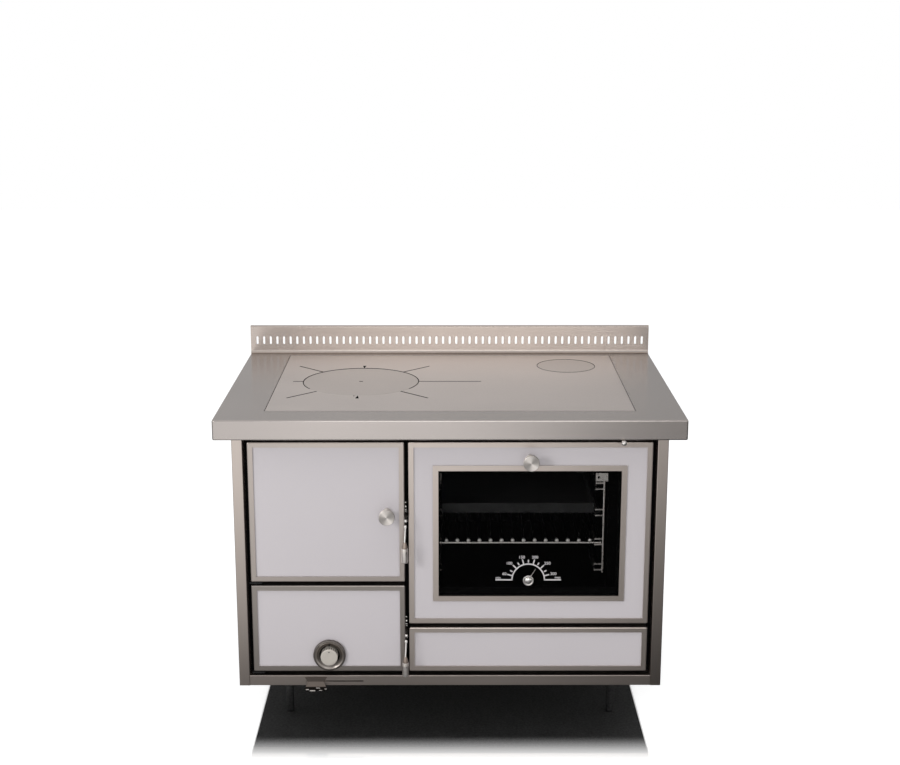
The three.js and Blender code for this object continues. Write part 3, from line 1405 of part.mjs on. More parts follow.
function addDamper() {
  const r = DAMPER_ROD_RADIUS;
  const R = DAMPER_KNOB_RADIUS;
  const y1 = DAMPER_PLATE_FRONT + DAMPER_PLATE_LENGTH;
  const half = DAMPER_PLATE_WIDTH / 2;
  const foot = DAMPER_SEAT + FIT - DAMPER.z;
  const rod = join(
    bar([0, -DAMPER_REACH, 0], [0, y1, 0], r, 12),
    turned(
      [
        [0, R * 0.9],
        [R * 0.55, R * 0.9],
        [R * 0.8, R * 0.4],
        [R, -R * 0.1],
        [R * 0.86, -R * 0.6],
        [R * 0.5, -R * 0.92],
        [0, -R],
      ],
      20,
    ).translate([0, -DAMPER_REACH, 0]),
    box(-half, half, DAMPER_PLATE_FRONT, y1, foot, foot + DAMPER_PLATE_SHEET),
  );
  add(stove, "damper_rod", rod, CHROME, [DAMPER.x, 0, DAMPER.z]);
}

// ---------------------------------------------------------------- assembly
addWorktop();
addHobPlate();
addLids();
addBacksplash();
addFrontFrame();
addFacePlate();
addCasing();
addFlueCollar();
addFeet();
addFirebox();
addOvenBox();
addRackRails();
addOvenRack();
addDoorHinges();
addFireboxDoor();
addAshDoor();
addOvenHinges();
addOvenDoor();
addDrawer();
addAirSlider();
addDamper();

export default stove;
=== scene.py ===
# Wood cookstove: finishes, fine forms, floor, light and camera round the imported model.
# Metres, +Z up, the same frame as the solids. Scale marks on the dials are plain numbers.
import math

import bmesh
import bpy
from mathutils import Matrix, Vector

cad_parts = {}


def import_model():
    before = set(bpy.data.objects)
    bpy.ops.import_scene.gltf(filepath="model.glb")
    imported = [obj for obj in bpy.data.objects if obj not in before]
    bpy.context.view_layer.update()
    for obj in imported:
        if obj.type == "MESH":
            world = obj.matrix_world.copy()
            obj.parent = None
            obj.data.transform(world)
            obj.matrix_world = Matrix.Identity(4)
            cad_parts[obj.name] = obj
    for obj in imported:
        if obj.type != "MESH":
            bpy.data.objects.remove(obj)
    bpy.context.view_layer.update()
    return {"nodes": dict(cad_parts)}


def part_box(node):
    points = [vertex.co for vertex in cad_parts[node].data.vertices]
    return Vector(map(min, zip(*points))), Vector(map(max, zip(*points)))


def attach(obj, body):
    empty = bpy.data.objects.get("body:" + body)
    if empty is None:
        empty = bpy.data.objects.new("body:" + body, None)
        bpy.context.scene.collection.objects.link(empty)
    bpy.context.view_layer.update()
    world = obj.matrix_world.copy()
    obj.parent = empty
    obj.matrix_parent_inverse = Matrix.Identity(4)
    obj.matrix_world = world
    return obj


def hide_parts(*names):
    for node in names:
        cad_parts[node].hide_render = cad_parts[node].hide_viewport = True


# ---------------------------------------------------------------- sizes
MM = 0.001
FRONT_Y = -0.2759  # the plane of the door fronts
CAMERA_PLACE = (-0.00434, -3.00328, 1.35381)
CAMERA_TURN = (math.radians(76.377), 0, math.radians(-0.088))
CAMERA_LENS = 59.41

MIRROR_START = FRONT_Y - 0.206  # the floor turns from matt to polished under the stove
MIRROR_FULL = FRONT_Y - 0.070
MIRROR_SIDE = 0.376
MIRROR_FADE = 0.006
MIRROR_REAR = 0.30

SCALE_RADIUS = 31.8 * MM  # printed scale of the oven thermometer
SCALE_LINE = 2.6 * MM
SCALE_BASE = 64.1 * MM
MAJOR_TICKS = (165, 135.5, 106, 73.5, 44, 14.5)  # degrees from the right
MINOR_TICKS = (152, 121, 90, 59, 28)
MAJOR_REACH = 42.3 * MM
MINOR_START = 34.8 * MM
MINOR_REACH = 40.2 * MM
SCALE_TALL = 1.03  # the scale is a little taller than a half circle
DIGIT_HEIGHT = 5.9 * MM
DIGIT_PLACES = {  # from the middle of the boss, in mm
    "60": (-46.6, 12.6),
    "100": (-36.7, 34.4),
    "150": (-12.3, 46.9),
    "200": (12.9, 46.9),
    "250": (37.1, 34.4),
    "300": (49.2, 12.6),
}
WORD_HEIGHT = 4.9 * MM
WORD_PLACES = {"min": (-58.7, 4.3), "max": (57.9, 4.3)}
PRINT_LIFT = 0.15 * MM
FONT_TALL = 0.7  # height of a digit, as a share of the font's size

LATCH_GAP_X = -85.7 * MM  # the gap between the left doors and the oven door
STEM_DROP = 46 * MM
COLLAR_RADIUS = 5.35 * MM
SLIDER_PAINTED_DARK = 7.0 * MM  # the air slider is painted near black below this height over its foot, a painted dark reflection
# Bright rolls of the slider's edge, painted highlights on its painted-dark foot, in mm: place across, length,
# height and radius.
SLIDER_ROLLS = (
    (-16, 6, -1, 1.6),
    (-6, 11, -3.4, 1.9),
    (5, 8, 2.4, 1.2),
    (10, 6, -2.6, 1.0),
    (20, 4, 0.4, 1.3),
)
DIAL_RING_OUTER = 32.0 * MM
DIAL_RING_INNER = 20.25 * MM
DIAL_CREST = 5.65 * MM  # how far the ring stands out from the door fronts

# Slots round the lid, each under a dark patch of painted shade: degrees from the right, and the reach past
# the lid's rim in mm.
HOB_SLOTS = ((45, 80), (135, 80), (225, 80), (315, 80), (0, 131), (180, 22))
# Lift and thickness of the dark patches of painted shade on the hob.
SHADE_PAINT_LIFT = 0.03 * MM
SHADE_PAINT_THICK = 0.3 * MM
RACK_BAR_PITCH = 21.66 * MM
RACK_BARS = 14
RACK_BAR_RADIUS = 2.8 * MM

# The baking tray on the third runners. Each pair is the left and right or the front and rear end.
TRAY_LOW = 421.4 * MM
TRAY_HIGH = 441.8 * MM
TRAY_SIDES = (-18.6 * MM, 281.9 * MM)
TRAY_FLANGES = (-28.5 * MM, 295.2 * MM)
TRAY_ENDS = (FRONT_Y + 36 * MM, FRONT_Y + 396 * MM)
TRAY_SHEET = 1.2 * MM
TRAY_EDGE = 0.4 * MM

PAINTED_SHEEN_LINE = math.radians(125)  # the painted highlight line across a spun face, from the right, anticlockwise
PAINTED_SHEEN_LOW = 0.55  # the painted shade beside it, as a share of the full colour
GRAIN_ACROSS = (6, 300, 900)  # how finely the grain of brushed steel is divided along X, Y and Z
GRAIN_UPRIGHT = (900, 300, 6)
GRAIN_TOP = (5, 700, 400)
SHINE_TOP = (0, 0.94, 0.34)  # tangent of the shine on the worktop and the backsplash
SMOOTH_ANGLE = math.radians(40)  # edges that turn by more than this stay sharp
CAD_SMOOTH_ANGLE = math.radians(32)
ON_AXIS = 1e-7  # a smaller radius is a point on the axis


# ---------------------------------------------------------------- node helpers
class Graph:
    """A material's node tree: inputs that are sockets are linked, other inputs are set."""

    def __init__(self, tree):
        self.tree = tree
        tree.nodes.clear()

    def node(self, kind, inputs=None, **settings):
        made = self.tree.nodes.new(kind)
        for key, value in settings.items():
            setattr(made, key, value)
        for key, value in (inputs or {}).items():
            self.feed(made.inputs[key], value)
        return made

    def feed(self, socket, value):
        if isinstance(value, bpy.types.NodeSocket):
            self.tree.links.new(value, socket)
        else:
            socket.default_value = value

    def place(self, scale=(1, 1, 1), turn=(0, 0, 0)):
        coords = self.node("ShaderNodeTexCoord").outputs["Object"]
        mapping = self.node("ShaderNodeMapping", {"Vector": coords, "Scale": scale, "Rotation": turn})
        return mapping.outputs["Vector"]

    def noise(self, vector, scale, detail=2.0, roughness=0.5):
        inputs = {"Vector": vector, "Scale": scale, "Detail": detail, "Roughness": roughness}
        return self.node("ShaderNodeTexNoise", inputs).outputs["Fac"]

    def spread(self, value, low, high, start=0.0, end=1.0, smooth=False):
        inputs = {"Value": value, "From Min": start, "From Max": end, "To Min": low, "To Max": high}
        kind = "SMOOTHSTEP" if smooth else "LINEAR"
        return self.node("ShaderNodeMapRange", inputs, interpolation_type=kind).outputs["Result"]

    def combine(self, operation, a, b=0.0):
        return self.node("ShaderNodeMath", {0: a, 1: b}, operation=operation).outputs[0]

    def times(self, a, b):
        return self.combine("MULTIPLY", a, b)

    def split(self, vector):
        return self.node("ShaderNodeSeparateXYZ", {0: vector}).outputs

    def tint(self, colour, factor):
        inputs = {"Scale": factor, 0: colour}
        return self.node("ShaderNodeVectorMath", inputs, operation="SCALE").outputs["Vector"]

    def direction(self, way):
        return self.node("ShaderNodeCombineXYZ", dict(zip("XYZ", way))).outputs[0]

    def bump(self, height, strength, distance):
        inputs = {"Height": height, "Strength": strength, "Distance": distance}
        return self.node("ShaderNodeBump", inputs).outputs["Normal"]


def surface(name, inputs):
    """A material with one Principled shader, and its graph for the rest of its nodes."""
    mat = bpy.data.materials.new(name)
    mat.use_nodes = True
    graph = Graph(mat.node_tree)
    shader = graph.node("ShaderNodeBsdfPrincipled", inputs)
    out = graph.node("ShaderNodeOutputMaterial")
    graph.tree.links.new(shader.outputs["BSDF"], out.inputs["Surface"])
    return mat, graph, shader


# ---------------------------------------------------------------- materials
def brushed_steel(name, colour, grain, across, roughness=0.3, painted_dark_below=None):
    """Sheet steel with a directional grain: the noise is stretched along the brushing, and across
    is the tangent of its shine. Below an optional height the colour is painted near black, a painted
    dark reflection."""
    streak, clouds, fade = 0.012, 0.03, 0.5 * MM
    mat, graph, shader = surface(name, {"Metallic": 1.0, "Anisotropic": 0.7})
    fine = graph.noise(graph.place(grain), 1.0, 4.0, 0.6)
    broad = graph.noise(graph.place((3.1, 3.1, 3.7)), 1.0, 1.0)
    graph.feed(shader.inputs["Tangent"], graph.direction(across))
    shade = graph.times(
        graph.spread(fine, 1 - streak, 1 + streak, 0.25, 0.75),
        graph.spread(broad, 1 - clouds, 1 + clouds, 0.3, 0.7),
    )
    # Painted dark reflection: below the given height the colour falls to near black.
    if painted_dark_below:
        height = graph.split(graph.place())["Z"]
        shade = graph.times(shade, graph.spread(height, 0.06, 1.0, painted_dark_below - fade, painted_dark_below + fade))
    graph.feed(shader.inputs["Base Color"], graph.tint(colour, shade))
    graph.feed(shader.inputs["Roughness"], graph.spread(fine, roughness * 0.94, roughness * 1.06, 0.3, 0.7))
    graph.feed(shader.inputs["Normal"], graph.bump(fine, 0.015, 0.0002))
    return mat


def ground_steel(name, colour, top, roughness):
    """Hob plate: steel ground from side to side, with a fine grain, faint stains of heat, and painted
    shade on what lies below its top: slot walls and ledges go near black."""
    mat, graph, shader = surface(name, {"Metallic": 1.0, "Anisotropic": 0.75})
    fine = graph.noise(graph.place(), 420.0, 3.0, 0.7)
    graph.feed(shader.inputs["Tangent"], graph.direction((0, 1, 0)))
    swirl = graph.noise(graph.place((5, 9, 5)), 1.0, 3.0, 0.55)
    shade = graph.times(
        graph.spread(fine, 0.96, 1.04, 0.3, 0.7), graph.spread(swirl, 0.98, 1.02, 0.3, 0.7)
    )
    # Painted shade: below the top the colour falls to near black.
    height = graph.split(graph.place())["Z"]
    shade = graph.times(shade, graph.spread(height, 0.01, 1.0, top - 1.6 * MM, top - 0.4 * MM))
    graph.feed(shader.inputs["Base Color"], graph.tint(colour, shade))
    graph.feed(shader.inputs["Roughness"], graph.spread(swirl, roughness * 0.97, roughness * 1.04, 0.3, 0.7))
    graph.feed(shader.inputs["Normal"], graph.bump(fine, 0.05, 0.0002))
    return mat


def polished_metal(name, colour, roughness, painted_dark_inside=None, metallic=1.0):
    """Plated metal. The optional (front, rear, share) darkens the colour to share from front to rear: painted
    shade deep in the oven.
    """
    mat, graph, shader = surface(name, {"Metallic": metallic})
    haze = graph.noise(graph.place(), 160.0, 2.0)
    shade = graph.spread(haze, 0.96, 1.03, 0.3, 0.7)
    # Painted shade: the colour falls from front to rear, deep in the oven.
    if painted_dark_inside:
        front, rear, share = painted_dark_inside
        deep = graph.split(graph.place())["Y"]
        shade = graph.times(shade, graph.spread(deep, 1.0, share, front, rear, True))
    graph.feed(shader.inputs["Base Color"], graph.tint(colour, shade))
    graph.feed(shader.inputs["Roughness"], graph.spread(haze, roughness * 0.8, roughness * 1.25, 0.3, 0.7))
    return mat


def spun_metal(name, colour, roughness):
    """A turned face: fine rings about its own axis, so that it shines in a line across, and a painted
    highlight line with painted shade beside it in its colour.
    """
    mat, graph, shader = surface(name, {"Metallic": 1.0, "Anisotropic": 0.9, "Anisotropic Rotation": 0.25})
    ring = graph.node("ShaderNodeTangent", direction_type="RADIAL", axis="Y").outputs["Tangent"]
    haze = graph.noise(graph.place(), 300.0, 2.0)
    # The colour carries a painted highlight line and painted shade beside it.
    shade = graph.times(graph.spread(haze, 0.96, 1.03, 0.3, 0.7), painted_sheen(graph))
    graph.feed(shader.inputs["Base Color"], graph.tint(colour, shade))
    graph.feed(shader.inputs["Roughness"], graph.spread(haze, roughness * 0.9, roughness * 1.1, 0.3, 0.7))
    graph.feed(shader.inputs["Tangent"], ring)
    return mat


def painted_sheen(graph):
    """Painted highlight: one bright line across the middle of a turned face, painted into its colour,
    with painted shade on both sides of it.
    """
    box = graph.node("ShaderNodeTexCoord").outputs["Generated"]
    parts = graph.split(box)
    across = graph.combine("SUBTRACT", parts["X"], 0.5)
    up = graph.combine("SUBTRACT", parts["Z"], 0.5)
    angle = graph.combine("ARCTAN2", up, across)
    double = graph.times(graph.combine("SUBTRACT", angle, PAINTED_SHEEN_LINE), 2.0)  # the same half a turn on
    return graph.spread(graph.combine("COSINE", double), PAINTED_SHEEN_LOW, 1.0, -1.0, 1.0)


def enamel(name, colour):
    """Fired enamel: smooth, slightly wavy under a hard gloss."""
    mat, graph, shader = surface(
        name, {"Roughness": 0.34, "Specular IOR Level": 0.4, "Coat Weight": 0.25, "Coat Roughness": 0.12}
    )
    wave = graph.noise(graph.place(), 38.0, 2.0)
    cloud = graph.noise(graph.place((2, 2, 2)), 1.0, 1.0)
    speck = graph.noise(graph.place(), 900.0, 1.0)
    shade = graph.times(
        graph.spread(cloud, 0.975, 1.02, 0.3, 0.7), graph.spread(speck, 0.985, 1.012, 0.3, 0.7)
    )
    graph.feed(shader.inputs["Base Color"], graph.tint(colour, shade))
    graph.feed(shader.inputs["Normal"], graph.bump(wave, 0.05, 0.0006))
    return mat


def dark_sheet(name, level, roughness=0.6, specular=0.08):
    """Blackened sheet with a fine grain."""
    mat, graph, shader = surface(name, {"Specular IOR Level": specular, "Roughness": roughness})
    grain = graph.noise(graph.place(), 220.0, 3.0, 0.6)
    shade = graph.spread(grain, level * 0.75, level * 1.3, 0.3, 0.7)
    graph.feed(shader.inputs["Base Color"], graph.tint((1.0, 1.0, 1.0), shade))
    graph.feed(shader.inputs["Normal"], graph.bump(grain, 0.15, 0.0003))
    return mat


def cast_iron(name, level):
    """Sand-cast iron with a fine grain."""
    mat, graph, shader = surface(name, {"Specular IOR Level": 0.3, "Roughness": 0.65})
    sand = graph.noise(graph.place(), 520.0, 4.0, 0.7)
    shade = graph.spread(sand, level * 0.7, level * 1.4, 0.3, 0.7)
    graph.feed(shader.inputs["Base Color"], graph.tint((1.0, 0.98, 0.95), shade))
    graph.feed(shader.inputs["Normal"], graph.bump(sand, 0.35, 0.0006))
    return mat


def firebrick(name):
    """Pitted firebricks in rows, with thin joints."""
    mat, graph, shader = surface(name, {"Specular IOR Level": 0.15, "Roughness": 0.9})
    pits = graph.noise(graph.place(), 260.0, 5.0, 0.7)
    cloud = graph.noise(graph.place(), 22.0, 3.0)
    bricks = graph.node(
        "ShaderNodeTexBrick",
        {
            "Vector": graph.place((1, 1, 1), (math.radians(90), 0, 0)),
            "Color1": (0.36, 0.27, 0.18, 1),
            "Color2": (0.41, 0.31, 0.21, 1),
            "Mortar": (0.12, 0.10, 0.08, 1),
            "Scale": 1.0,
            "Mortar Size": 0.0012,
            "Brick Width": 0.23,
            "Row Height": 0.114,
        },
    ).outputs["Color"]
    pitted = graph.spread(pits, 0.8, 1.15, 0.3, 0.7)
    shade = graph.times(pitted, graph.spread(cloud, 0.8, 1.1, 0.3, 0.7))
    graph.feed(shader.inputs["Base Color"], graph.tint(bricks, shade))
    graph.feed(shader.inputs["Normal"], graph.bump(pits, 0.4, 0.0008))
    return mat


def rope(name):
    """Braided glass-fibre rope: crossing strands in bump and shade."""
    mat, graph, shader = surface(name, {"Roughness": 0.95, "Specular IOR Level": 0.1, "Sheen Weight": 0.15})
    slant = math.radians(45)
    strands = []
    for way in (1, -1):
        vector = graph.place((1, 1, 1), (slant * way, slant * way, 0))
        wave = graph.node("ShaderNodeTexWave", {"Vector": vector, "Scale": 110.0, "Distortion": 0.6})
        strands.append(wave.outputs["Fac"])
    braid = graph.combine("MAXIMUM", strands[0], strands[1])
    graph.feed(shader.inputs["Base Color"], graph.tint((1.0, 0.97, 0.92), graph.spread(braid, 0.03, 0.10)))
    graph.feed(shader.inputs["Normal"], graph.bump(braid, 0.8, 0.001))
    return mat


def glass(name, alpha):
    """Dark clear oven glass: seen through, with a thin dark body of its own."""
    mat, graph, shader = surface(
        name, {"Roughness": 0.04, "Specular IOR Level": 0.04, "IOR": 1.5, "Alpha": alpha}
    )
    haze = graph.noise(graph.place(), 60.0, 2.0)
    graph.feed(shader.inputs["Base Color"], graph.tint((1.0, 1.0, 1.0), graph.spread(haze, 0.002, 0.004)))
    return mat


def printed(name, level):
    """Matt print, a little uneven."""
    mat, graph, shader = surface(name, {"Roughness": 0.5, "Specular IOR Level": 0.2})
    ink = graph.noise(graph.place(), 1500.0, 2.0)
    colour = graph.tint((1.0, 0.97, 0.98), graph.spread(ink, level * 0.94, level * 1.04, 0.3, 0.7))
    graph.feed(shader.inputs["Base Color"], colour)
    return mat


# ---------------------------------------------------------------- mesh helpers
def new_piece(name, mesh, body, material):
    """Puts a mesh in the scene as a piece that rides on a body."""
    mesh.materials.append(material)
    mesh.shade_smooth()
    mesh.set_sharp_from_angle(angle=SMOOTH_ANGLE)
    obj = bpy.data.objects.new(name, mesh)
    bpy.context.scene.collection.objects.link(obj)
    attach(obj, body)
    return obj


def finished(name, bm, outward=True):
    """The mesh of a bmesh, with its faces turned outward unless they are already."""
    if outward:
        bmesh.ops.recalc_face_normals(bm, faces=bm.faces)
    mesh = bpy.data.meshes.new(name)
    bm.to_mesh(mesh)
    bm.free()
    return mesh


def add_plate(bm, near, far):
    """A closed plate between two outlines with as many points each."""
    front = [bm.verts.new(point) for point in near]
    back = [bm.verts.new(point) for point in far]
    bm.faces.new(front)
    bm.faces.new(list(reversed(back)))
    for i in range(len(front)):
        j = (i + 1) % len(front)
        bm.faces.new([front[j], front[i], back[i], back[j]])


def lathe_mesh(name, profile, centre, axis, segments=96):
    """Turns (radius, length) pairs about an axis through centre. Lengths are places along the axis."""
    bm = bmesh.new()
    rings = []
    for radius, length in profile:
        ring = []
        count = 1 if radius < ON_AXIS else segments
        for i in range(count):
            angle = 2 * math.pi * i / segments
            a, b = radius * math.cos(angle), radius * math.sin(angle)
            if axis == "Y":
                place = (centre[0] + a, length, centre[2] + b)
            else:
                place = (centre[0] + a, centre[1] + b, length)
            ring.append(bm.verts.new(place))
        rings.append(ring)
    for low, high in zip(rings, rings[1:]):
        for i in range(segments):
            j = (i + 1) % segments
            corners = [low[i % len(low)], low[j % len(low)], high[j % len(high)], high[i % len(high)]]
            unique = list(dict.fromkeys(corners))
            if len(unique) > 2:
                bm.faces.new(unique)
    return finished(name, bm)


def arc_points(centre, radius, start, end, steps):
    """Points of a quarter or part circle in a (radius, length) profile, angles in degrees."""
    return [
        (
            centre[0] + radius * math.cos(math.radians(start + (end - start) * i / steps)),
            centre[1] + radius * math.sin(math.radians(start + (end - start) * i / steps)),
        )
        for i in range(steps + 1)
    ]


def plate_mesh(name, outlines, depth, centre, y):
    """Thin raised plates facing the front: outlines are lists of (x, z) from the centre."""
    bm = bmesh.new()
    for points in outlines:
        near = [(centre[0] + x, y - depth, centre[2] + z) for x, z in points]
        add_plate(bm, near, [(x, y, z) for x, _, z in near])
    return finished(name, bm)


def word_mesh(name, text, height, centre, y, depth):
    """Upright text as a thin mesh that faces the front, centred at (x, z)."""
    curve = bpy.data.curves.new(name, "FONT")
    curve.body = text
    curve.size = height / FONT_TALL
    curve.align_x = "CENTER"
    curve.align_y = "CENTER"
    curve.extrude = depth / 2
    curve.offset = height * 0.02
    curve.resolution_u = 3
    holder = bpy.data.objects.new(name, curve)
    bpy.context.scene.collection.objects.link(holder)
    bpy.context.view_layer.update()
    graph = bpy.context.evaluated_depsgraph_get()
    mesh = bpy.data.meshes.new_from_object(holder.evaluated_get(graph))
    bpy.data.objects.remove(holder)
    mesh.transform(Matrix.Rotation(math.radians(90), 4, "X"))
    low, high = ends(mesh)
    shift = Vector((centre[0], y - depth / 2, centre[1])) - Vector(
        ((low.x + high.x) / 2, 0, (low.z + high.z) / 2)
    )
    mesh.transform(Matrix.Translation(shift))
    return mesh


def ends(mesh):
    """The low and the high corner of a mesh's box."""
    points = [vert.co for vert in mesh.vertices]
    low = Vector([min(point[i] for point in points) for i in range(3)])
    high = Vector([max(point[i] for point in points) for i in range(3)])
    return low, high


def middle(node):
    """The middle, the low corner and the high corner of a node's box."""
    low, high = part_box(node)
    return (Vector(low) + Vector(high)) / 2, Vector(low), Vector(high)


def joined(name, meshes):
    """One mesh of several, which are used up."""
    bm = bmesh.new()
    for part in meshes:
        bm.from_mesh(part)
        bpy.data.meshes.remove(part)
    return finished(name, bm, False)


def tube_mesh(name, points, radius, sides=10):
    """A round wire along points, with flat ends."""
    bm = bmesh.new()
    rings = []
    side = None
    for i, point in enumerate(points):
        along = (points[min(i + 1, len(points) - 1)] - points[max(i - 1, 0)]).normalized()
        seed = side if side is not None else (Vector((1, 0, 0)) if abs(along.x) < 0.9 else Vector((0, 1, 0)))
        side = (seed - along * seed.dot(along)).normalized()
        other = along.cross(side)
        turns = [2 * math.pi * k / sides for k in range(sides)]
        ring = [bm.verts.new(point + (side * math.cos(t) + other * math.sin(t)) * radius) for t in turns]
        rings.append(ring)
    for low, high in zip(rings, rings[1:]):
        for k in range(sides):
            m = (k + 1) % sides
            bm.faces.new([low[k], low[m], high[m], high[k]])
    bm.faces.new(list(reversed(rings[0])))
    bm.faces.new(rings[-1])
    return finished(name, bm)


def block_mesh(name, low, high, edge=0.0002):
    """A small block with its edges eased."""
    bm = bmesh.new()
    bmesh.ops.create_cube(bm, size=1.0)
    size = Vector(high) - Vector(low)
    for vert in bm.verts:
        vert.co = Vector([low[i] + (vert.co[i] + 0.5) * size[i] for i in range(3)])
    bmesh.ops.bevel(bm, geom=list(bm.edges), offset=edge, segments=2, affect="EDGES")
    return finished(name, bm, False)


def pellet(name, x, y, z, radius, half):
    """An upright bead with its middle at z, of the given radius and half height."""
    flank = arc_points((radius * 0.15, 0), radius * 0.85, -80, 80, 8)
    tall = half * 0.97 / (radius * 0.85)
    profile = [(0, z - half)] + [(r, z + h * tall) for r, h in flank] + [(0, z + half)]
    return lathe_mesh(name, profile, (x, y), "Z", 24)


def flat_arc(centre, radius, z, degrees):
    """Points of a level arc about centre."""
    turns = [math.radians(angle) for angle in degrees]
    return [Vector((centre.x + radius * math.cos(t), centre.y + radius * math.sin(t), z)) for t in turns]


def dress(nodes, material):
    """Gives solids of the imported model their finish."""
    for name in nodes:
        mesh = frame["nodes"][name].data
        mesh.materials.clear()
        mesh.materials.append(material)
        mesh.shade_smooth()
        mesh.set_sharp_from_angle(angle=CAD_SMOOTH_ANGLE)


# ---------------------------------------------------------------- model
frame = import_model()

WARM = (0.62, 0.545, 0.495)
UP = (0, 0, 1)
steel_across = brushed_steel("steel_brushed_across", WARM, GRAIN_ACROSS, UP)
# The slider's foot below this height is painted near black, a painted dark reflection.
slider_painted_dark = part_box("air_slider")[0][2] + SLIDER_PAINTED_DARK
steel_brown_painted_foot = brushed_steel("steel_brown_painted_foot", (0.19, 0.16, 0.14), GRAIN_ACROSS, UP, 0.34, painted_dark_below=slider_painted_dark)
# Darker copies of the same brushed steel, painted shade: the firebox door trim and, darker still, the ash
# door trim.
steel_painted_shade = brushed_steel("steel_painted_shade", (0.53, 0.47, 0.43), GRAIN_ACROSS, UP)
steel_painted_deeper_shade = brushed_steel("steel_painted_deeper_shade", (0.40, 0.36, 0.33), GRAIN_ACROSS, UP)
steel_upright = brushed_steel("steel_brushed_upright", WARM, GRAIN_UPRIGHT, (1, 0, 0))
steel_top = brushed_steel("steel_worktop", (0.52, 0.475, 0.45), GRAIN_TOP, SHINE_TOP, 0.24)
steel_splash = brushed_steel("steel_splash", WARM, GRAIN_TOP, SHINE_TOP, 0.26)
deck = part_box("hob_plate")[1][2]
steel_hob = ground_steel("steel_hob", (0.70, 0.635, 0.60), deck, 0.3)
steel_lid = ground_steel("steel_lid", (0.63, 0.57, 0.535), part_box("hob_lid")[1][2], 0.34)
# A darker copy of the brushed steel for the bottom rail, painted shade.
steel_rail_painted_shade = brushed_steel("steel_rail_painted_shade", (0.44, 0.385, 0.35), GRAIN_ACROSS, UP)
chrome = polished_metal("chrome", (0.80, 0.77, 0.74), 0.09)
satin = polished_metal("satin_chrome", (0.86, 0.82, 0.78), 0.24)
# Turned knob faces: a painted highlight line and painted shade in the colour.
spun = spun_metal("spun_steel_painted_sheen", (0.92, 0.86, 0.81), 0.48)
dial_face = polished_metal("dial_face", (0.60, 0.555, 0.50), 0.5, metallic=0.4)
dial_steel = polished_metal("dial_ring_steel", (0.19, 0.17, 0.155), 0.42)
# The right rack rail: painted shade darkens it deeper in the oven.
wire = polished_metal("plated_wire", (0.92, 0.87, 0.83), 0.3, (FRONT_Y + 0.045, FRONT_Y + 0.13, 0.04))
enamel_pale = enamel("enamel_pale_grey", (0.545, 0.512, 0.53))
black = dark_sheet("black_sheet", 0.0018)
# Painted shade: the left rack rail is painted near black.
wire_painted_shade = polished_metal("painted_shade_wire", (0.13, 0.12, 0.11), 0.4)
# Painted shade on the rack's bars just behind its front wire, deep in the oven.
rack_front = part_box("oven_rack")[0][1]
painted_dark = (rack_front + 0.006, rack_front + 0.02, 0.014)
rack_wire = polished_metal("rack_wire", (0.92, 0.87, 0.83), 0.35, painted_dark)
# Painted shade: the latch levers and spring rods are painted near black, as they stand in the dark gap.
latch_painted_shade = polished_metal("latch_painted_shade", (0.03, 0.027, 0.024), 0.4)
latch_tan = polished_metal("latch_tan", (0.40, 0.33, 0.28), 0.4)
grip_steel = polished_metal("grip_steel", (0.95, 0.89, 0.84), 0.34)
roll_steel = polished_metal("roll_steel", (0.5, 0.47, 0.44), 0.2)
bead_steel = polished_metal("bead_steel", (1.0, 0.97, 0.93), 0.45)
# Painted shade: near-black patches and tubes in the slots and joints of the hob.
shade_paint = dark_sheet("joint_soot", 0.003, 1.0, 0.0)
foot_black = dark_sheet("foot_black", 0.06, 0.7, 0.1)
oven_black = dark_sheet("oven_black", 0.0007, 0.55, 0.02)
tray_enamel = dark_sheet("tray_enamel", 0.026, 0.4, 0.06)
casing_black = dark_sheet("casing_black", 0.012, 0.5, 0.25)
underside = dark_sheet("underside_black", 0.115, 0.7, 0.12)
iron = cast_iron("cast_iron", 0.03)
brick = firebrick("firebrick")
seal_rope = rope("seal_rope")
pane = glass("oven_pane", 0.10)
print_pale = printed("scale_print", 0.52)
mark_dark = printed("dial_mark", 0.008)

dress(["worktop"], steel_top)
dress(["backsplash"], steel_splash)
dress(["hob_plate"], steel_hob)
dress(["hob_lid", "clean_out_cover"], steel_lid)
dress(["left_stile", "right_stile"], steel_upright)
dress(["bottom_rail"], steel_rail_painted_shade)
dress(["air_slider"], steel_brown_painted_foot)
dress(["oven_door_trim", "oven_window_frame", "drawer_trim"], steel_across)
dress(["firebox_door_trim"], steel_painted_shade)
dress(["ash_door_trim"], steel_painted_deeper_shade)
dress(["firebox_door_panel", "ash_door_panel", "oven_door_panel", "drawer_panel"], enamel_pale)
dress(["face_plate", "firebox_door_liner", "ash_door_liner", "oven_door_liner", "centre_partition"], black)
dress(["left_side_panel", "right_side_panel", "rear_panel"], casing_black)
dress(["oven_box"], oven_black)
dress(["drawer_tray", "drawer_runners", "ash_pan", "ash_shelf"], casing_black)
dress(["upper_hinge", "middle_hinge", "lower_hinge"], casing_black)
dress(["flue_collar", "fire_grate", "left_oven_hinge", "right_oven_hinge"], iron)
dress(["base_panel"], underside)
dress(["front_left_foot", "front_right_foot", "rear_left_foot", "rear_right_foot"], foot_black)
dress(["firebrick_lining"], brick)
dress(["firebox_door_seal"], seal_rope)
dress(["left_rack_rail"], wire_painted_shade)
dress(["right_rack_rail"], wire)
dress(["oven_rack"], rack_wire)
dress(["oven_door_glass", "oven_inner_glass"], pane)
dress(["thermometer_boss", "damper_rod"], chrome)
dress(["thermometer_needle"], satin)
dress(["firebox_latch_lever", "ash_latch_lever"], latch_painted_shade)
dress(["firebox_door_knob", "oven_door_knob", "air_dial_knob"], spun)


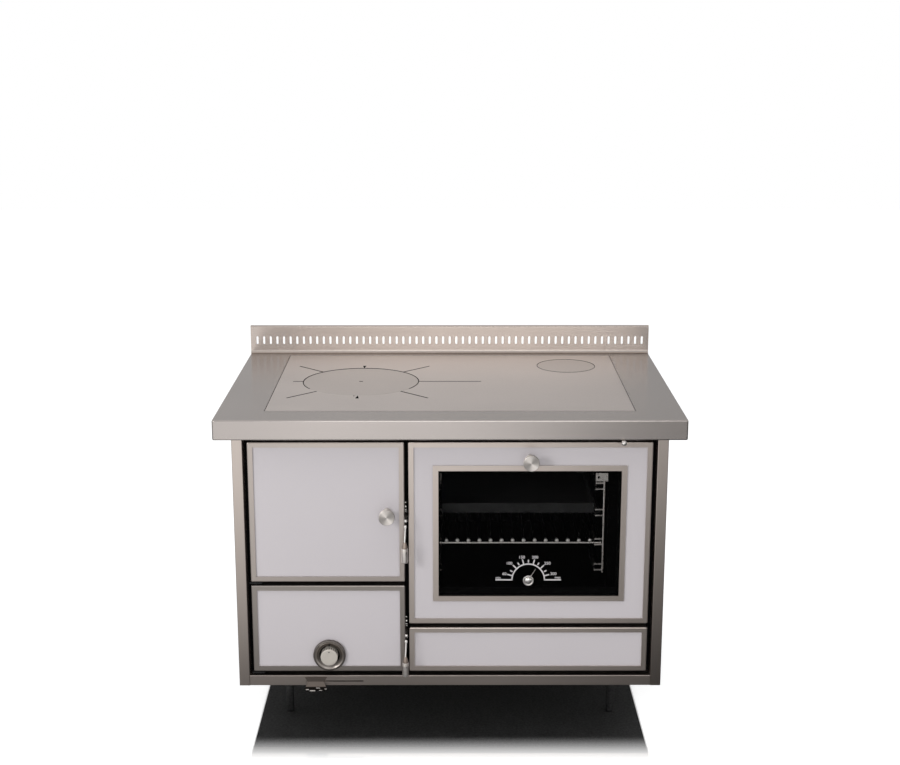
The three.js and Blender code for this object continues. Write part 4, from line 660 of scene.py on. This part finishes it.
def door_knob(node, body):
    """A turned disc on a waisted neck, its face dished a little inside a rolled rim."""
    centre, low, high = middle(node)
    face, foot = low.y, high.y
    radius = (high.x - low.x) / 2
    neck = 6 * MM
    rim = 1.4 * MM
    back = face + 9 * MM
    profile = [(0, foot), (neck + 2 * MM, foot), (neck + 2 * MM, foot - 2 * MM)]
    profile += arc_points((neck + 2 * MM, foot - 4 * MM), 2 * MM, 90, 180, 5)
    profile += [(neck, back + 5 * MM)]
    profile += arc_points((neck + 4 * MM, back + 5 * MM), 4 * MM, 180, 250, 5)
    profile += arc_points((radius - rim, back - rim - 0.4 * MM), rim, 80, 0, 5)
    profile += arc_points((radius - rim, face + rim), rim, 0, -90, 6)
    profile += [(radius - 2.2 * MM, face + 0.1 * MM), (radius * 0.5, face + 0.35 * MM), (0, face + 0.4 * MM)]
    mesh = lathe_mesh(node + "_turned", profile, centre, "Y")
    obj = new_piece(node + "_turned", mesh, body, spun)
    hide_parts(node)


def lever_grip(node, body):
    """The grip of a latch: a barrel with a groove under its crown and a rounded foot."""
    centre, low, high = middle(node)
    radius = (high.x - low.x) / 2
    profile = [(0, low.z)]
    profile += arc_points((radius - 2.2 * MM, low.z + 2.2 * MM), 2.2 * MM, -90, 0, 6)
    groove = high.z - 4.6 * MM
    profile += [(radius, groove - 0.6 * MM), (radius - 0.7 * MM, groove), (radius, groove + 0.6 * MM)]
    profile += arc_points((radius - 1.2 * MM, high.z - 1.2 * MM), 1.2 * MM, 0, 90, 5)
    profile += [(0, high.z)]
    mesh = lathe_mesh(node + "_turned", profile, centre, "Z", 64)
    obj = new_piece(node + "_turned", mesh, body, grip_steel)
    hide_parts(node)


def latch_spring(prefix, body):
    """The return spring of a latch, in the gap over the lever: a coil and two stops on a rod."""
    z = middle(prefix + "_latch_lever")[2].z
    x, y = LATCH_GAP_X, FRONT_Y + 2.5 * MM
    turns, steps = 2, 14
    radius, length = 1.5 * MM, 6.5 * MM
    coil = []
    for i in range(turns * steps + 1):
        angle = 2 * math.pi * i / steps
        rise = z + 1.5 * MM + length * i / (turns * steps)
        coil.append(Vector((x + radius * math.cos(angle), y + radius * math.sin(angle), rise)))
    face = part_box(prefix + "_door_trim")[1][0]
    tab_low = (face - 0.4 * MM, y - 0.6 * MM, z + 20.9 * MM)
    tab_high = (x + 1.3 * MM, y + 0.6 * MM, z + 22.1 * MM)
    parts = [
        tube_mesh("coil", coil, 0.6 * MM),
        pellet("stop", x, y, z + 13 * MM, 1.8 * MM, 2.2 * MM),
        pellet("nut", x, y, z + 21.5 * MM, 1.3 * MM, 1.4 * MM),
        block_mesh("tab", tab_low, tab_high),
    ]
    name = prefix + "_latch_spring"
    new_piece(name, joined(name, parts), body, bead_steel)
    rod = [Vector((x, y, z - 6 * MM)), Vector((x, y, z + 22 * MM))]
    new_piece(prefix + "_spring_rod", tube_mesh("rod", rod, 0.7 * MM), body, latch_painted_shade)


def latch_stem(prefix, body):
    """A bright strip along the front of a latch's stem, a painted highlight over the dark lever, with its
    bead, the spring's eye over it and the collar.
    """
    _, _, high = middle(prefix + "_latch_lever")
    hub, _, crown = middle(prefix + "_latch_grip")
    bend = Vector((hub.x + 2.2 * MM, FRONT_Y - 22 * MM, high.z - 2.4 * MM))
    heel = Vector((hub.x, FRONT_Y - 32 * MM, bend.z - STEM_DROP))
    forward = Vector((0, -1.2 * MM, 0))
    bead = bend.lerp(heel, 0.36)
    eye = bend.lerp(heel, 0.12)
    parts = [
        tube_mesh("stem", [bead + forward, heel + forward], 1.5 * MM),
        pellet("bead", bead.x, bead.y, bead.z, 2.7 * MM, 4 * MM),
        pellet("eye", eye.x, eye.y, eye.z, 2.9 * MM, 3.6 * MM),
    ]
    name = prefix + "_latch_stem"
    new_piece(name, joined(name, parts), body, bead_steel)
    foot, shoulder = crown.z + 0.15 * MM, heel.z + 1.5 * MM
    profile = [(0, foot), (COLLAR_RADIUS, foot), (COLLAR_RADIUS, foot + 3.2 * MM)]
    profile += [(2.2 * MM, shoulder), (0, shoulder)]
    collar = lathe_mesh("collar", profile, (hub.x, heel.y), "Z", 40)
    new_piece(prefix + "_latch_collar", collar, body, latch_tan)


def rack_bar_ends():
    """Rounded ends of the rack's bars, over its front wire."""
    centre, low, high = middle("oven_rack")
    swell = 1.2 * MM
    r = RACK_BAR_RADIUS + swell
    z = high.z - RACK_BAR_RADIUS + swell
    start = low.y + 0.6 * MM
    parts = []
    for i in range(RACK_BARS):
        x = centre.x + (i - (RACK_BARS - 1) / 2) * RACK_BAR_PITCH
        profile = [(0, start + 2.4 * MM), (r, start + 2.4 * MM)]
        profile += arc_points((r - 2.6 * MM, start + 0.6 * MM), 2.6 * MM, 0, -90, 6)
        profile.append((0, start - 2.1 * MM))
        parts.append(lathe_mesh("end", profile, (x, 0, z), "Y", 24))
    new_piece("rack_bar_ends", joined("rack_bar_ends", parts), "rack", bead_steel)


def deck_plate(bm, centre, outline, top):
    """A thin dark patch of painted shade on a level face: its outline is a list of (x, y) from the centre."""
    near = [(centre.x + x, centre.y + y, top + SHADE_PAINT_LIFT) for x, y in outline]
    add_plate(bm, near, [(x, y, z - SHADE_PAINT_THICK) for x, y, z in near])


def slot_outline(degrees, near, far, half):
    """The outline of a straight slot that runs outward, from near to far from the centre."""
    along = Vector((math.cos(math.radians(degrees)), math.sin(math.radians(degrees))))
    side = Vector((-along.y, along.x)) * half
    return [along * near + side, along * near - side, along * far - side, along * far + side]


def deck_marks():
    """Painted shade in the joints of the hob plate: dark patches over the expansion slots and the two
    notches, dark tubes along the edges of the lid and of the clean-out cover, and a dark patch over the lid's
    own slot."""
    centre, low, high = middle("hob_lid")
    radius = (high.x - low.x) / 2
    bm = bmesh.new()
    for degrees, reach in HOB_SLOTS:
        outline = slot_outline(degrees, radius + 1.5 * MM, radius + reach * MM, 1.9 * MM)
        deck_plate(bm, centre, outline, deck)
    for way in (-1, 1):
        apex, base, half = (radius + 1 * MM) * way, (radius + 25 * MM) * way, 3.8 * MM
        deck_plate(bm, centre, [(0, apex), (half, base), (-half, base)], deck)
    new_piece("hob_soot", finished("hob_soot", bm), "cabinet", shade_paint)

    arc = flat_arc(centre, radius + 0.6 * MM, deck, range(-32, 213, 2))
    new_piece("lid_joint", tube_mesh("lid_joint", arc, 0.75 * MM, 8), "cabinet", shade_paint)
    hub, left, right = middle("clean_out_cover")
    ring = flat_arc(hub, (right.x - left.x) / 2 + 0.4 * MM, deck, range(0, 361, 3))
    new_piece("cover_joint", tube_mesh("cover_joint", ring, 0.5 * MM, 8), "cabinet", shade_paint)

    bm = bmesh.new()
    x, y = 3.7 * MM, 2.4 * MM
    deck_plate(bm, centre, [(-x, -y), (x, -y), (x, y), (-x, y)], high.z)
    new_piece("lid_slot_soot", finished("lid_slot_soot", bm), "round_lid", shade_paint)


def slider_roll():
    """Short rolls of the air slider's lower edge, put only where it shows glints: painted highlights on its
    painted-dark foot.
    """
    centre, low, _ = middle("air_slider")
    z = low.z + 5 * MM
    parts = []
    for across, length, rise, radius in SLIDER_ROLLS:
        spans = (across - length / 2, across + length / 2)
        line = [Vector((centre.x + place * MM, low.y, z + rise * MM)) for place in spans]
        parts.append(tube_mesh("roll", line, radius * MM))
    new_piece("slider_roll", joined("slider_roll", parts), "slider", roll_steel)


def baking_tray():
    """A dark enamelled tray pushed in on the third runners: its side flanges lie on the wires."""
    (x0, x1), (y0, y1), t = TRAY_SIDES, TRAY_ENDS, TRAY_SHEET
    low, high = TRAY_LOW, TRAY_HIGH
    parts = [
        block_mesh("sheet", (TRAY_FLANGES[0], y0, low), (TRAY_FLANGES[1], y1, low + t)),
        block_mesh("front", (x0, y0, low), (x1, y0 + t, high), TRAY_EDGE),
        block_mesh("rear", (x0, y1 - t, low), (x1, y1, high), TRAY_EDGE),
        block_mesh("left", (x0, y0, low), (x0 + t, y1, high), TRAY_EDGE),
        block_mesh("right", (x1 - t, y0, low), (x1, y1, high), TRAY_EDGE),
    ]
    new_piece("baking_tray", joined("baking_tray", parts), "cabinet", tray_enamel)


def dial_ring():
    """The raised ring of the air dial, over the coarser one: a rolled crest and a fall to the recess."""
    centre, _, _ = middle("air_dial_knob")
    outer, inner = DIAL_RING_OUTER, DIAL_RING_INNER
    crest = FRONT_Y - DIAL_CREST
    back = FRONT_Y - 0.02 * MM
    profile = [(inner, back), (inner, crest + 3.4 * MM), (inner + 2 * MM, crest + 2.7 * MM)]
    profile += [(outer - 5.4 * MM, crest + 1.0 * MM)]
    profile += arc_points((outer - 2.9 * MM, crest + 2.9 * MM), 2.9 * MM, -115, 0, 10)
    profile += [(outer, back), (inner, back)]
    mesh = lathe_mesh("dial_ring", profile, centre, "Y")
    new_piece("dial_ring", mesh, "ash_door", dial_steel)
    low, high, half = 20.5 * MM, 24.2 * MM, 1.9 * MM
    outline = [(-half, low), (half, low), (0, high)]
    pointer = plate_mesh("dial_pointer", [outline], 2.2 * MM, centre, crest + 2.4 * MM)
    new_piece("dial_pointer", pointer, "ash_door", mark_dark)


def dial_knob():
    """The air dial: a drum with a satin face, ticks over the top of its skirt and a dot to set it by."""
    node = "air_dial_knob"
    centre, low, high = middle(node)
    radius = (high.x - low.x) / 2
    face, back = low.y, high.y
    drum_back = FRONT_Y + 6 * MM
    profile = [(0, back), (4 * MM, back), (4 * MM, drum_back), (radius, drum_back), (radius, face + 3 * MM)]
    profile += arc_points((radius - 1.6 * MM, face + 1.8 * MM), 1.6 * MM, 0, -90, 6)
    profile += [(radius * 0.55, face + 0.3 * MM), (0, face + 0.5 * MM)]
    mesh = lathe_mesh(node + "_turned", profile, centre, "Y")
    obj = new_piece(node + "_turned", mesh, "air_dial", dial_face)
    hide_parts(node)

    turns = [2 * math.pi * i / 20 for i in range(20)]
    dot = [(1.2 * MM * math.cos(a), 1.2 * MM * math.sin(a) + radius - 5.4 * MM) for a in turns]
    marks = plate_mesh("dial_dot", [dot], 0.3 * MM, centre, face + 0.35 * MM)
    new_piece("dial_dot", marks, "air_dial", mark_dark)
    bm = bmesh.new()
    for degrees in range(30, 151, 15):
        angle = math.radians(degrees)
        out = Vector((math.cos(angle), 0, math.sin(angle)))
        side = Vector((-math.sin(angle), 0, math.cos(angle))) * 0.75 * MM
        hub = Vector((centre.x, 0, centre.z))
        front, rear = Vector((0, face + 3.0 * MM, 0)), Vector((0, face + 10.5 * MM, 0))
        corners = [front - side, front + side, rear + side, rear - side]
        reaches = (radius + 0.2 * MM, radius - 0.3 * MM)
        add_plate(bm, *[[hub + out * reach + corner for corner in corners] for reach in reaches])
    new_piece("dial_ticks", finished("dial_ticks", bm), "air_dial", mark_dark)


def thermometer_cap():
    """The needle's cap: a chromed dome inside a stepped bezel."""
    node = "thermometer_boss"
    centre, low, high = middle(node)
    radius = (high.x - low.x) / 2
    crown, back = low.y, high.y
    skirt = back - 3 * MM
    dome = radius * 0.66
    profile = [(0, back), (3 * MM, back), (3 * MM, skirt), (radius, skirt)]
    profile += arc_points((radius - 1.1 * MM, skirt - 1.6 * MM), 1.1 * MM, 0, -90, 5)
    profile += [(dome + 1 * MM, skirt - 2.4 * MM), (dome, skirt - 2.2 * MM)]
    depth = skirt - 2.2 * MM - crown
    steps = 8
    for i in range(1, steps + 1):
        angle = math.radians(90 * i / steps)
        profile.append((dome * math.cos(angle), skirt - 2.2 * MM - depth * math.sin(angle)))
    mesh = lathe_mesh(node + "_turned", profile, centre, "Y", 72)
    obj = new_piece(node + "_turned", mesh, "oven_door", chrome)
    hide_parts(node)


def thermometer_scale():
    """The printed scale: an arc, its base lines, long and short ticks, and plain numbers."""
    centre, _, _ = middle("thermometer_boss")
    glass_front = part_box("oven_door_glass")[0][1]
    half = SCALE_LINE / 2
    shapes = []
    steps = 40
    outer = [(math.cos(math.pi * i / steps), math.sin(math.pi * i / steps)) for i in range(steps + 1)]
    for (c0, s0), (c1, s1) in zip(outer, outer[1:]):
        a, b = SCALE_RADIUS - half, SCALE_RADIUS + half
        shapes.append([(a * c0, a * s0), (b * c0, b * s0), (b * c1, b * s1), (a * c1, a * s1)])
    for way in (-1, 1):
        x0, x1 = sorted((way * (SCALE_RADIUS - half), way * SCALE_BASE))
        shapes.append([(x0, -half), (x1, -half), (x1, half), (x0, half)])
    ticks = [(angle, SCALE_RADIUS + half, MAJOR_REACH) for angle in MAJOR_TICKS]
    ticks += [(angle, MINOR_START, MINOR_REACH) for angle in MINOR_TICKS]
    for angle, start, end in ticks:
        c, s = math.cos(math.radians(angle)), math.sin(math.radians(angle))
        wide = half * 0.95
        shapes.append(
            [
                (start * c + wide * s, start * s - wide * c),
                (end * c + wide * s, end * s - wide * c),
                (end * c - wide * s, end * s + wide * c),
                (start * c - wide * s, start * s + wide * c),
            ]
        )
    shapes = [[(x, z * SCALE_TALL) for x, z in points] for points in shapes]
    mesh = plate_mesh("thermometer_scale", shapes, PRINT_LIFT, centre, glass_front)
    new_piece("thermometer_scale", mesh, "oven_door", print_pale)
    for places, height in ((DIGIT_PLACES, DIGIT_HEIGHT), (WORD_PLACES, WORD_HEIGHT)):
        for text, (x, z) in places.items():
            name = "scale_" + text
            place = (centre.x + x * MM, centre.z + z * MM)
            mesh = word_mesh(name, text, height, place, glass_front, PRINT_LIFT)
            new_piece(name, mesh, "oven_door", print_pale)


door_knob("firebox_door_knob", "firebox_door")
door_knob("oven_door_knob", "oven_door")
lever_grip("firebox_latch_grip", "firebox_lever")
lever_grip("ash_latch_grip", "ash_lever")
dial_knob()
dial_ring()
latch_stem("firebox", "firebox_lever")
latch_stem("ash", "ash_lever")
latch_spring("firebox", "firebox_door")
latch_spring("ash", "ash_door")
deck_marks()
slider_roll()
rack_bar_ends()
baking_tray()
thermometer_cap()
thermometer_scale()


# ---------------------------------------------------------------- floor, light and camera
def emission(graph, strength):
    """White light of a strength, from the surface itself."""
    return graph.node("ShaderNodeEmission", {"Color": (1, 1, 1, 1), "Strength": strength}).outputs[0]


def background(graph, strength):
    """White light of a strength, from the world."""
    return graph.node("ShaderNodeBackground", {"Color": (1, 1, 1, 1), "Strength": strength}).outputs[0]


def mix(graph, share, first, second):
    """The first shader where share is 0, the second where it is 1."""
    return graph.node("ShaderNodeMixShader", {0: share, 1: first, 2: second}).outputs[0]


def floor():
    """A pale floor that is polished under the stove, where it mirrors the dark underside."""
    mesh = bpy.data.meshes.new("floor")
    wide, near, far = 6.0, -7.0, 8.0
    mesh.from_pydata([(-wide, near, 0), (wide, near, 0), (wide, far, 0), (-wide, far, 0)], [], [(0, 1, 2, 3)])
    mat = bpy.data.materials.new("floor_pale")
    mat.use_nodes = True
    graph = Graph(mat.node_tree)
    parts = graph.split(graph.place())
    ahead = graph.spread(parts["Y"], 0.0, 1.0, MIRROR_START, MIRROR_FULL, True)
    aside = graph.combine("ABSOLUTE", parts["X"])
    beside = graph.spread(aside, 1.0, 0.0, MIRROR_SIDE, MIRROR_SIDE + MIRROR_FADE, True)
    behind = graph.spread(parts["Y"], 1.0, 0.0, MIRROR_REAR, MIRROR_REAR + 0.02, True)
    polish = graph.times(graph.times(ahead, beside), behind)
    matt = graph.node("ShaderNodeBsdfDiffuse", {"Color": (0.55, 0.55, 0.55, 1)}).outputs[0]
    rays = graph.node("ShaderNodeLightPath")
    seen = graph.combine("MAXIMUM", rays.outputs["Is Camera Ray"], rays.outputs["Is Transmission Ray"])
    lift = emission(graph, graph.times(seen, 0.7))
    pale = graph.node("ShaderNodeAddShader", {0: matt, 1: lift}).outputs[0]
    mirror = graph.node("ShaderNodeBsdfGlossy", {"Color": (0.75, 0.75, 0.75, 1), "Roughness": 0.03})
    direct = mix(graph, polish, pale, mirror.outputs[0])
    shine = emission(graph, floor_shine(graph, parts))
    mixed = mix(graph, rays.outputs["Is Glossy Ray"], direct, shine)
    graph.node("ShaderNodeOutputMaterial", {"Surface": mixed})
    mesh.materials.append(mat)
    obj = bpy.data.objects.new("floor", mesh)
    bpy.context.scene.collection.objects.link(obj)


def floor_shine(graph, parts):
    """What metal mirrors of the floor: white far out, dim close in front and to the right."""
    ahead = graph.combine("SUBTRACT", FRONT_Y, parts["Y"])
    near = graph.spread(ahead, 0.12, 0.40, 0.0, 0.9, True)
    out = graph.spread(ahead, 0.0, 0.70, 0.5, 2.1, True)
    across = parts["X"]
    near = graph.times(near, graph.spread(across, 1.6, 0.95, -0.55, -0.15, True))
    near = graph.times(near, graph.spread(across, 1.0, 0.35, 0.05, 0.55, True))
    out = graph.times(out, graph.spread(across, 1.0, 0.26, 0.0, 0.8, True))
    out = graph.times(out, graph.spread(across, 0.52, 1.0, -1.1, -0.15, True))
    return graph.combine("ADD", near, out)


def world():
    """White where it is seen, greyer low behind the stove in what metal mirrors, and a soft fill."""
    made = bpy.data.worlds.new("studio")
    made.use_nodes = True
    bpy.context.scene.world = made
    graph = Graph(made.node_tree)
    rays = graph.node("ShaderNodeLightPath")
    aim = graph.node("ShaderNodeTexCoord").outputs["Generated"]
    parts = graph.split(aim)
    high = graph.spread(parts["Z"], 0.49, 0.72, 0.25, 0.9, True)
    high = graph.times(high, graph.spread(parts["X"], 1.06, 0.82, -0.1, 0.3, True))
    front = graph.spread(parts["Y"], 0.92, 0.0, -0.35, 0.1, True)
    front = graph.times(front, graph.spread(parts["Z"], 1.0, 0.25, 0.1, 0.6, True))
    mirrored = graph.combine("MAXIMUM", high, front)
    seen = graph.combine("MAXIMUM", rays.outputs["Is Camera Ray"], rays.outputs["Is Transmission Ray"])
    inner = mix(graph, rays.outputs["Is Glossy Ray"], background(graph, 0.62), background(graph, mirrored))
    outer = mix(graph, seen, inner, background(graph, 1.0))
    graph.node("ShaderNodeOutputWorld", {"Surface": outer})


def lamp(name, place, target, size, power, mirrored=True):
    """A soft rectangular lamp aimed at a target. Unless it is mirrored, metal doesn't show it."""
    data = bpy.data.lights.new(name, "AREA")
    data.shape = "RECTANGLE"
    data.size, data.size_y = size
    data.energy = power
    obj = bpy.data.objects.new(name, data)
    obj.location = place
    obj.rotation_euler = (Vector(target) - Vector(place)).to_track_quat("-Z", "Y").to_euler()
    obj.visible_glossy = mirrored
    bpy.context.scene.collection.objects.link(obj)


def camera():
    """The view of the front from a little above."""
    data = bpy.data.cameras.new("camera")
    data.sensor_width = 36
    data.lens = CAMERA_LENS
    obj = bpy.data.objects.new("camera", data)
    obj.location = CAMERA_PLACE
    obj.rotation_euler = CAMERA_TURN
    bpy.context.scene.collection.objects.link(obj)
    bpy.context.scene.camera = obj


floor()
world()
# The fill lamps light the enamel without a highlight of their own in the metal.
lamp("key", (-1.9, -2.6, 1.5), (0, -0.2, 0.35), (0.9, 0.9), 14)
lamp("key_fill", (-1.9, -2.6, 1.5), (0, -0.2, 0.35), (0.9, 0.9), 22.5, False)
lamp("front", (0.1, -3.3, 1.15), (0, 0, 0.35), (1.4, 0.9), 7.5)
lamp("front_fill", (0.1, -3.3, 1.15), (0, 0, 0.35), (1.4, 0.9), 8, False)
lamp("top", (0.2, -0.4, 2.6), (0, 0, 0.4), (2.2, 1.6), 28, False)
camera()
bpy.context.scene.view_settings.view_transform = "Standard"
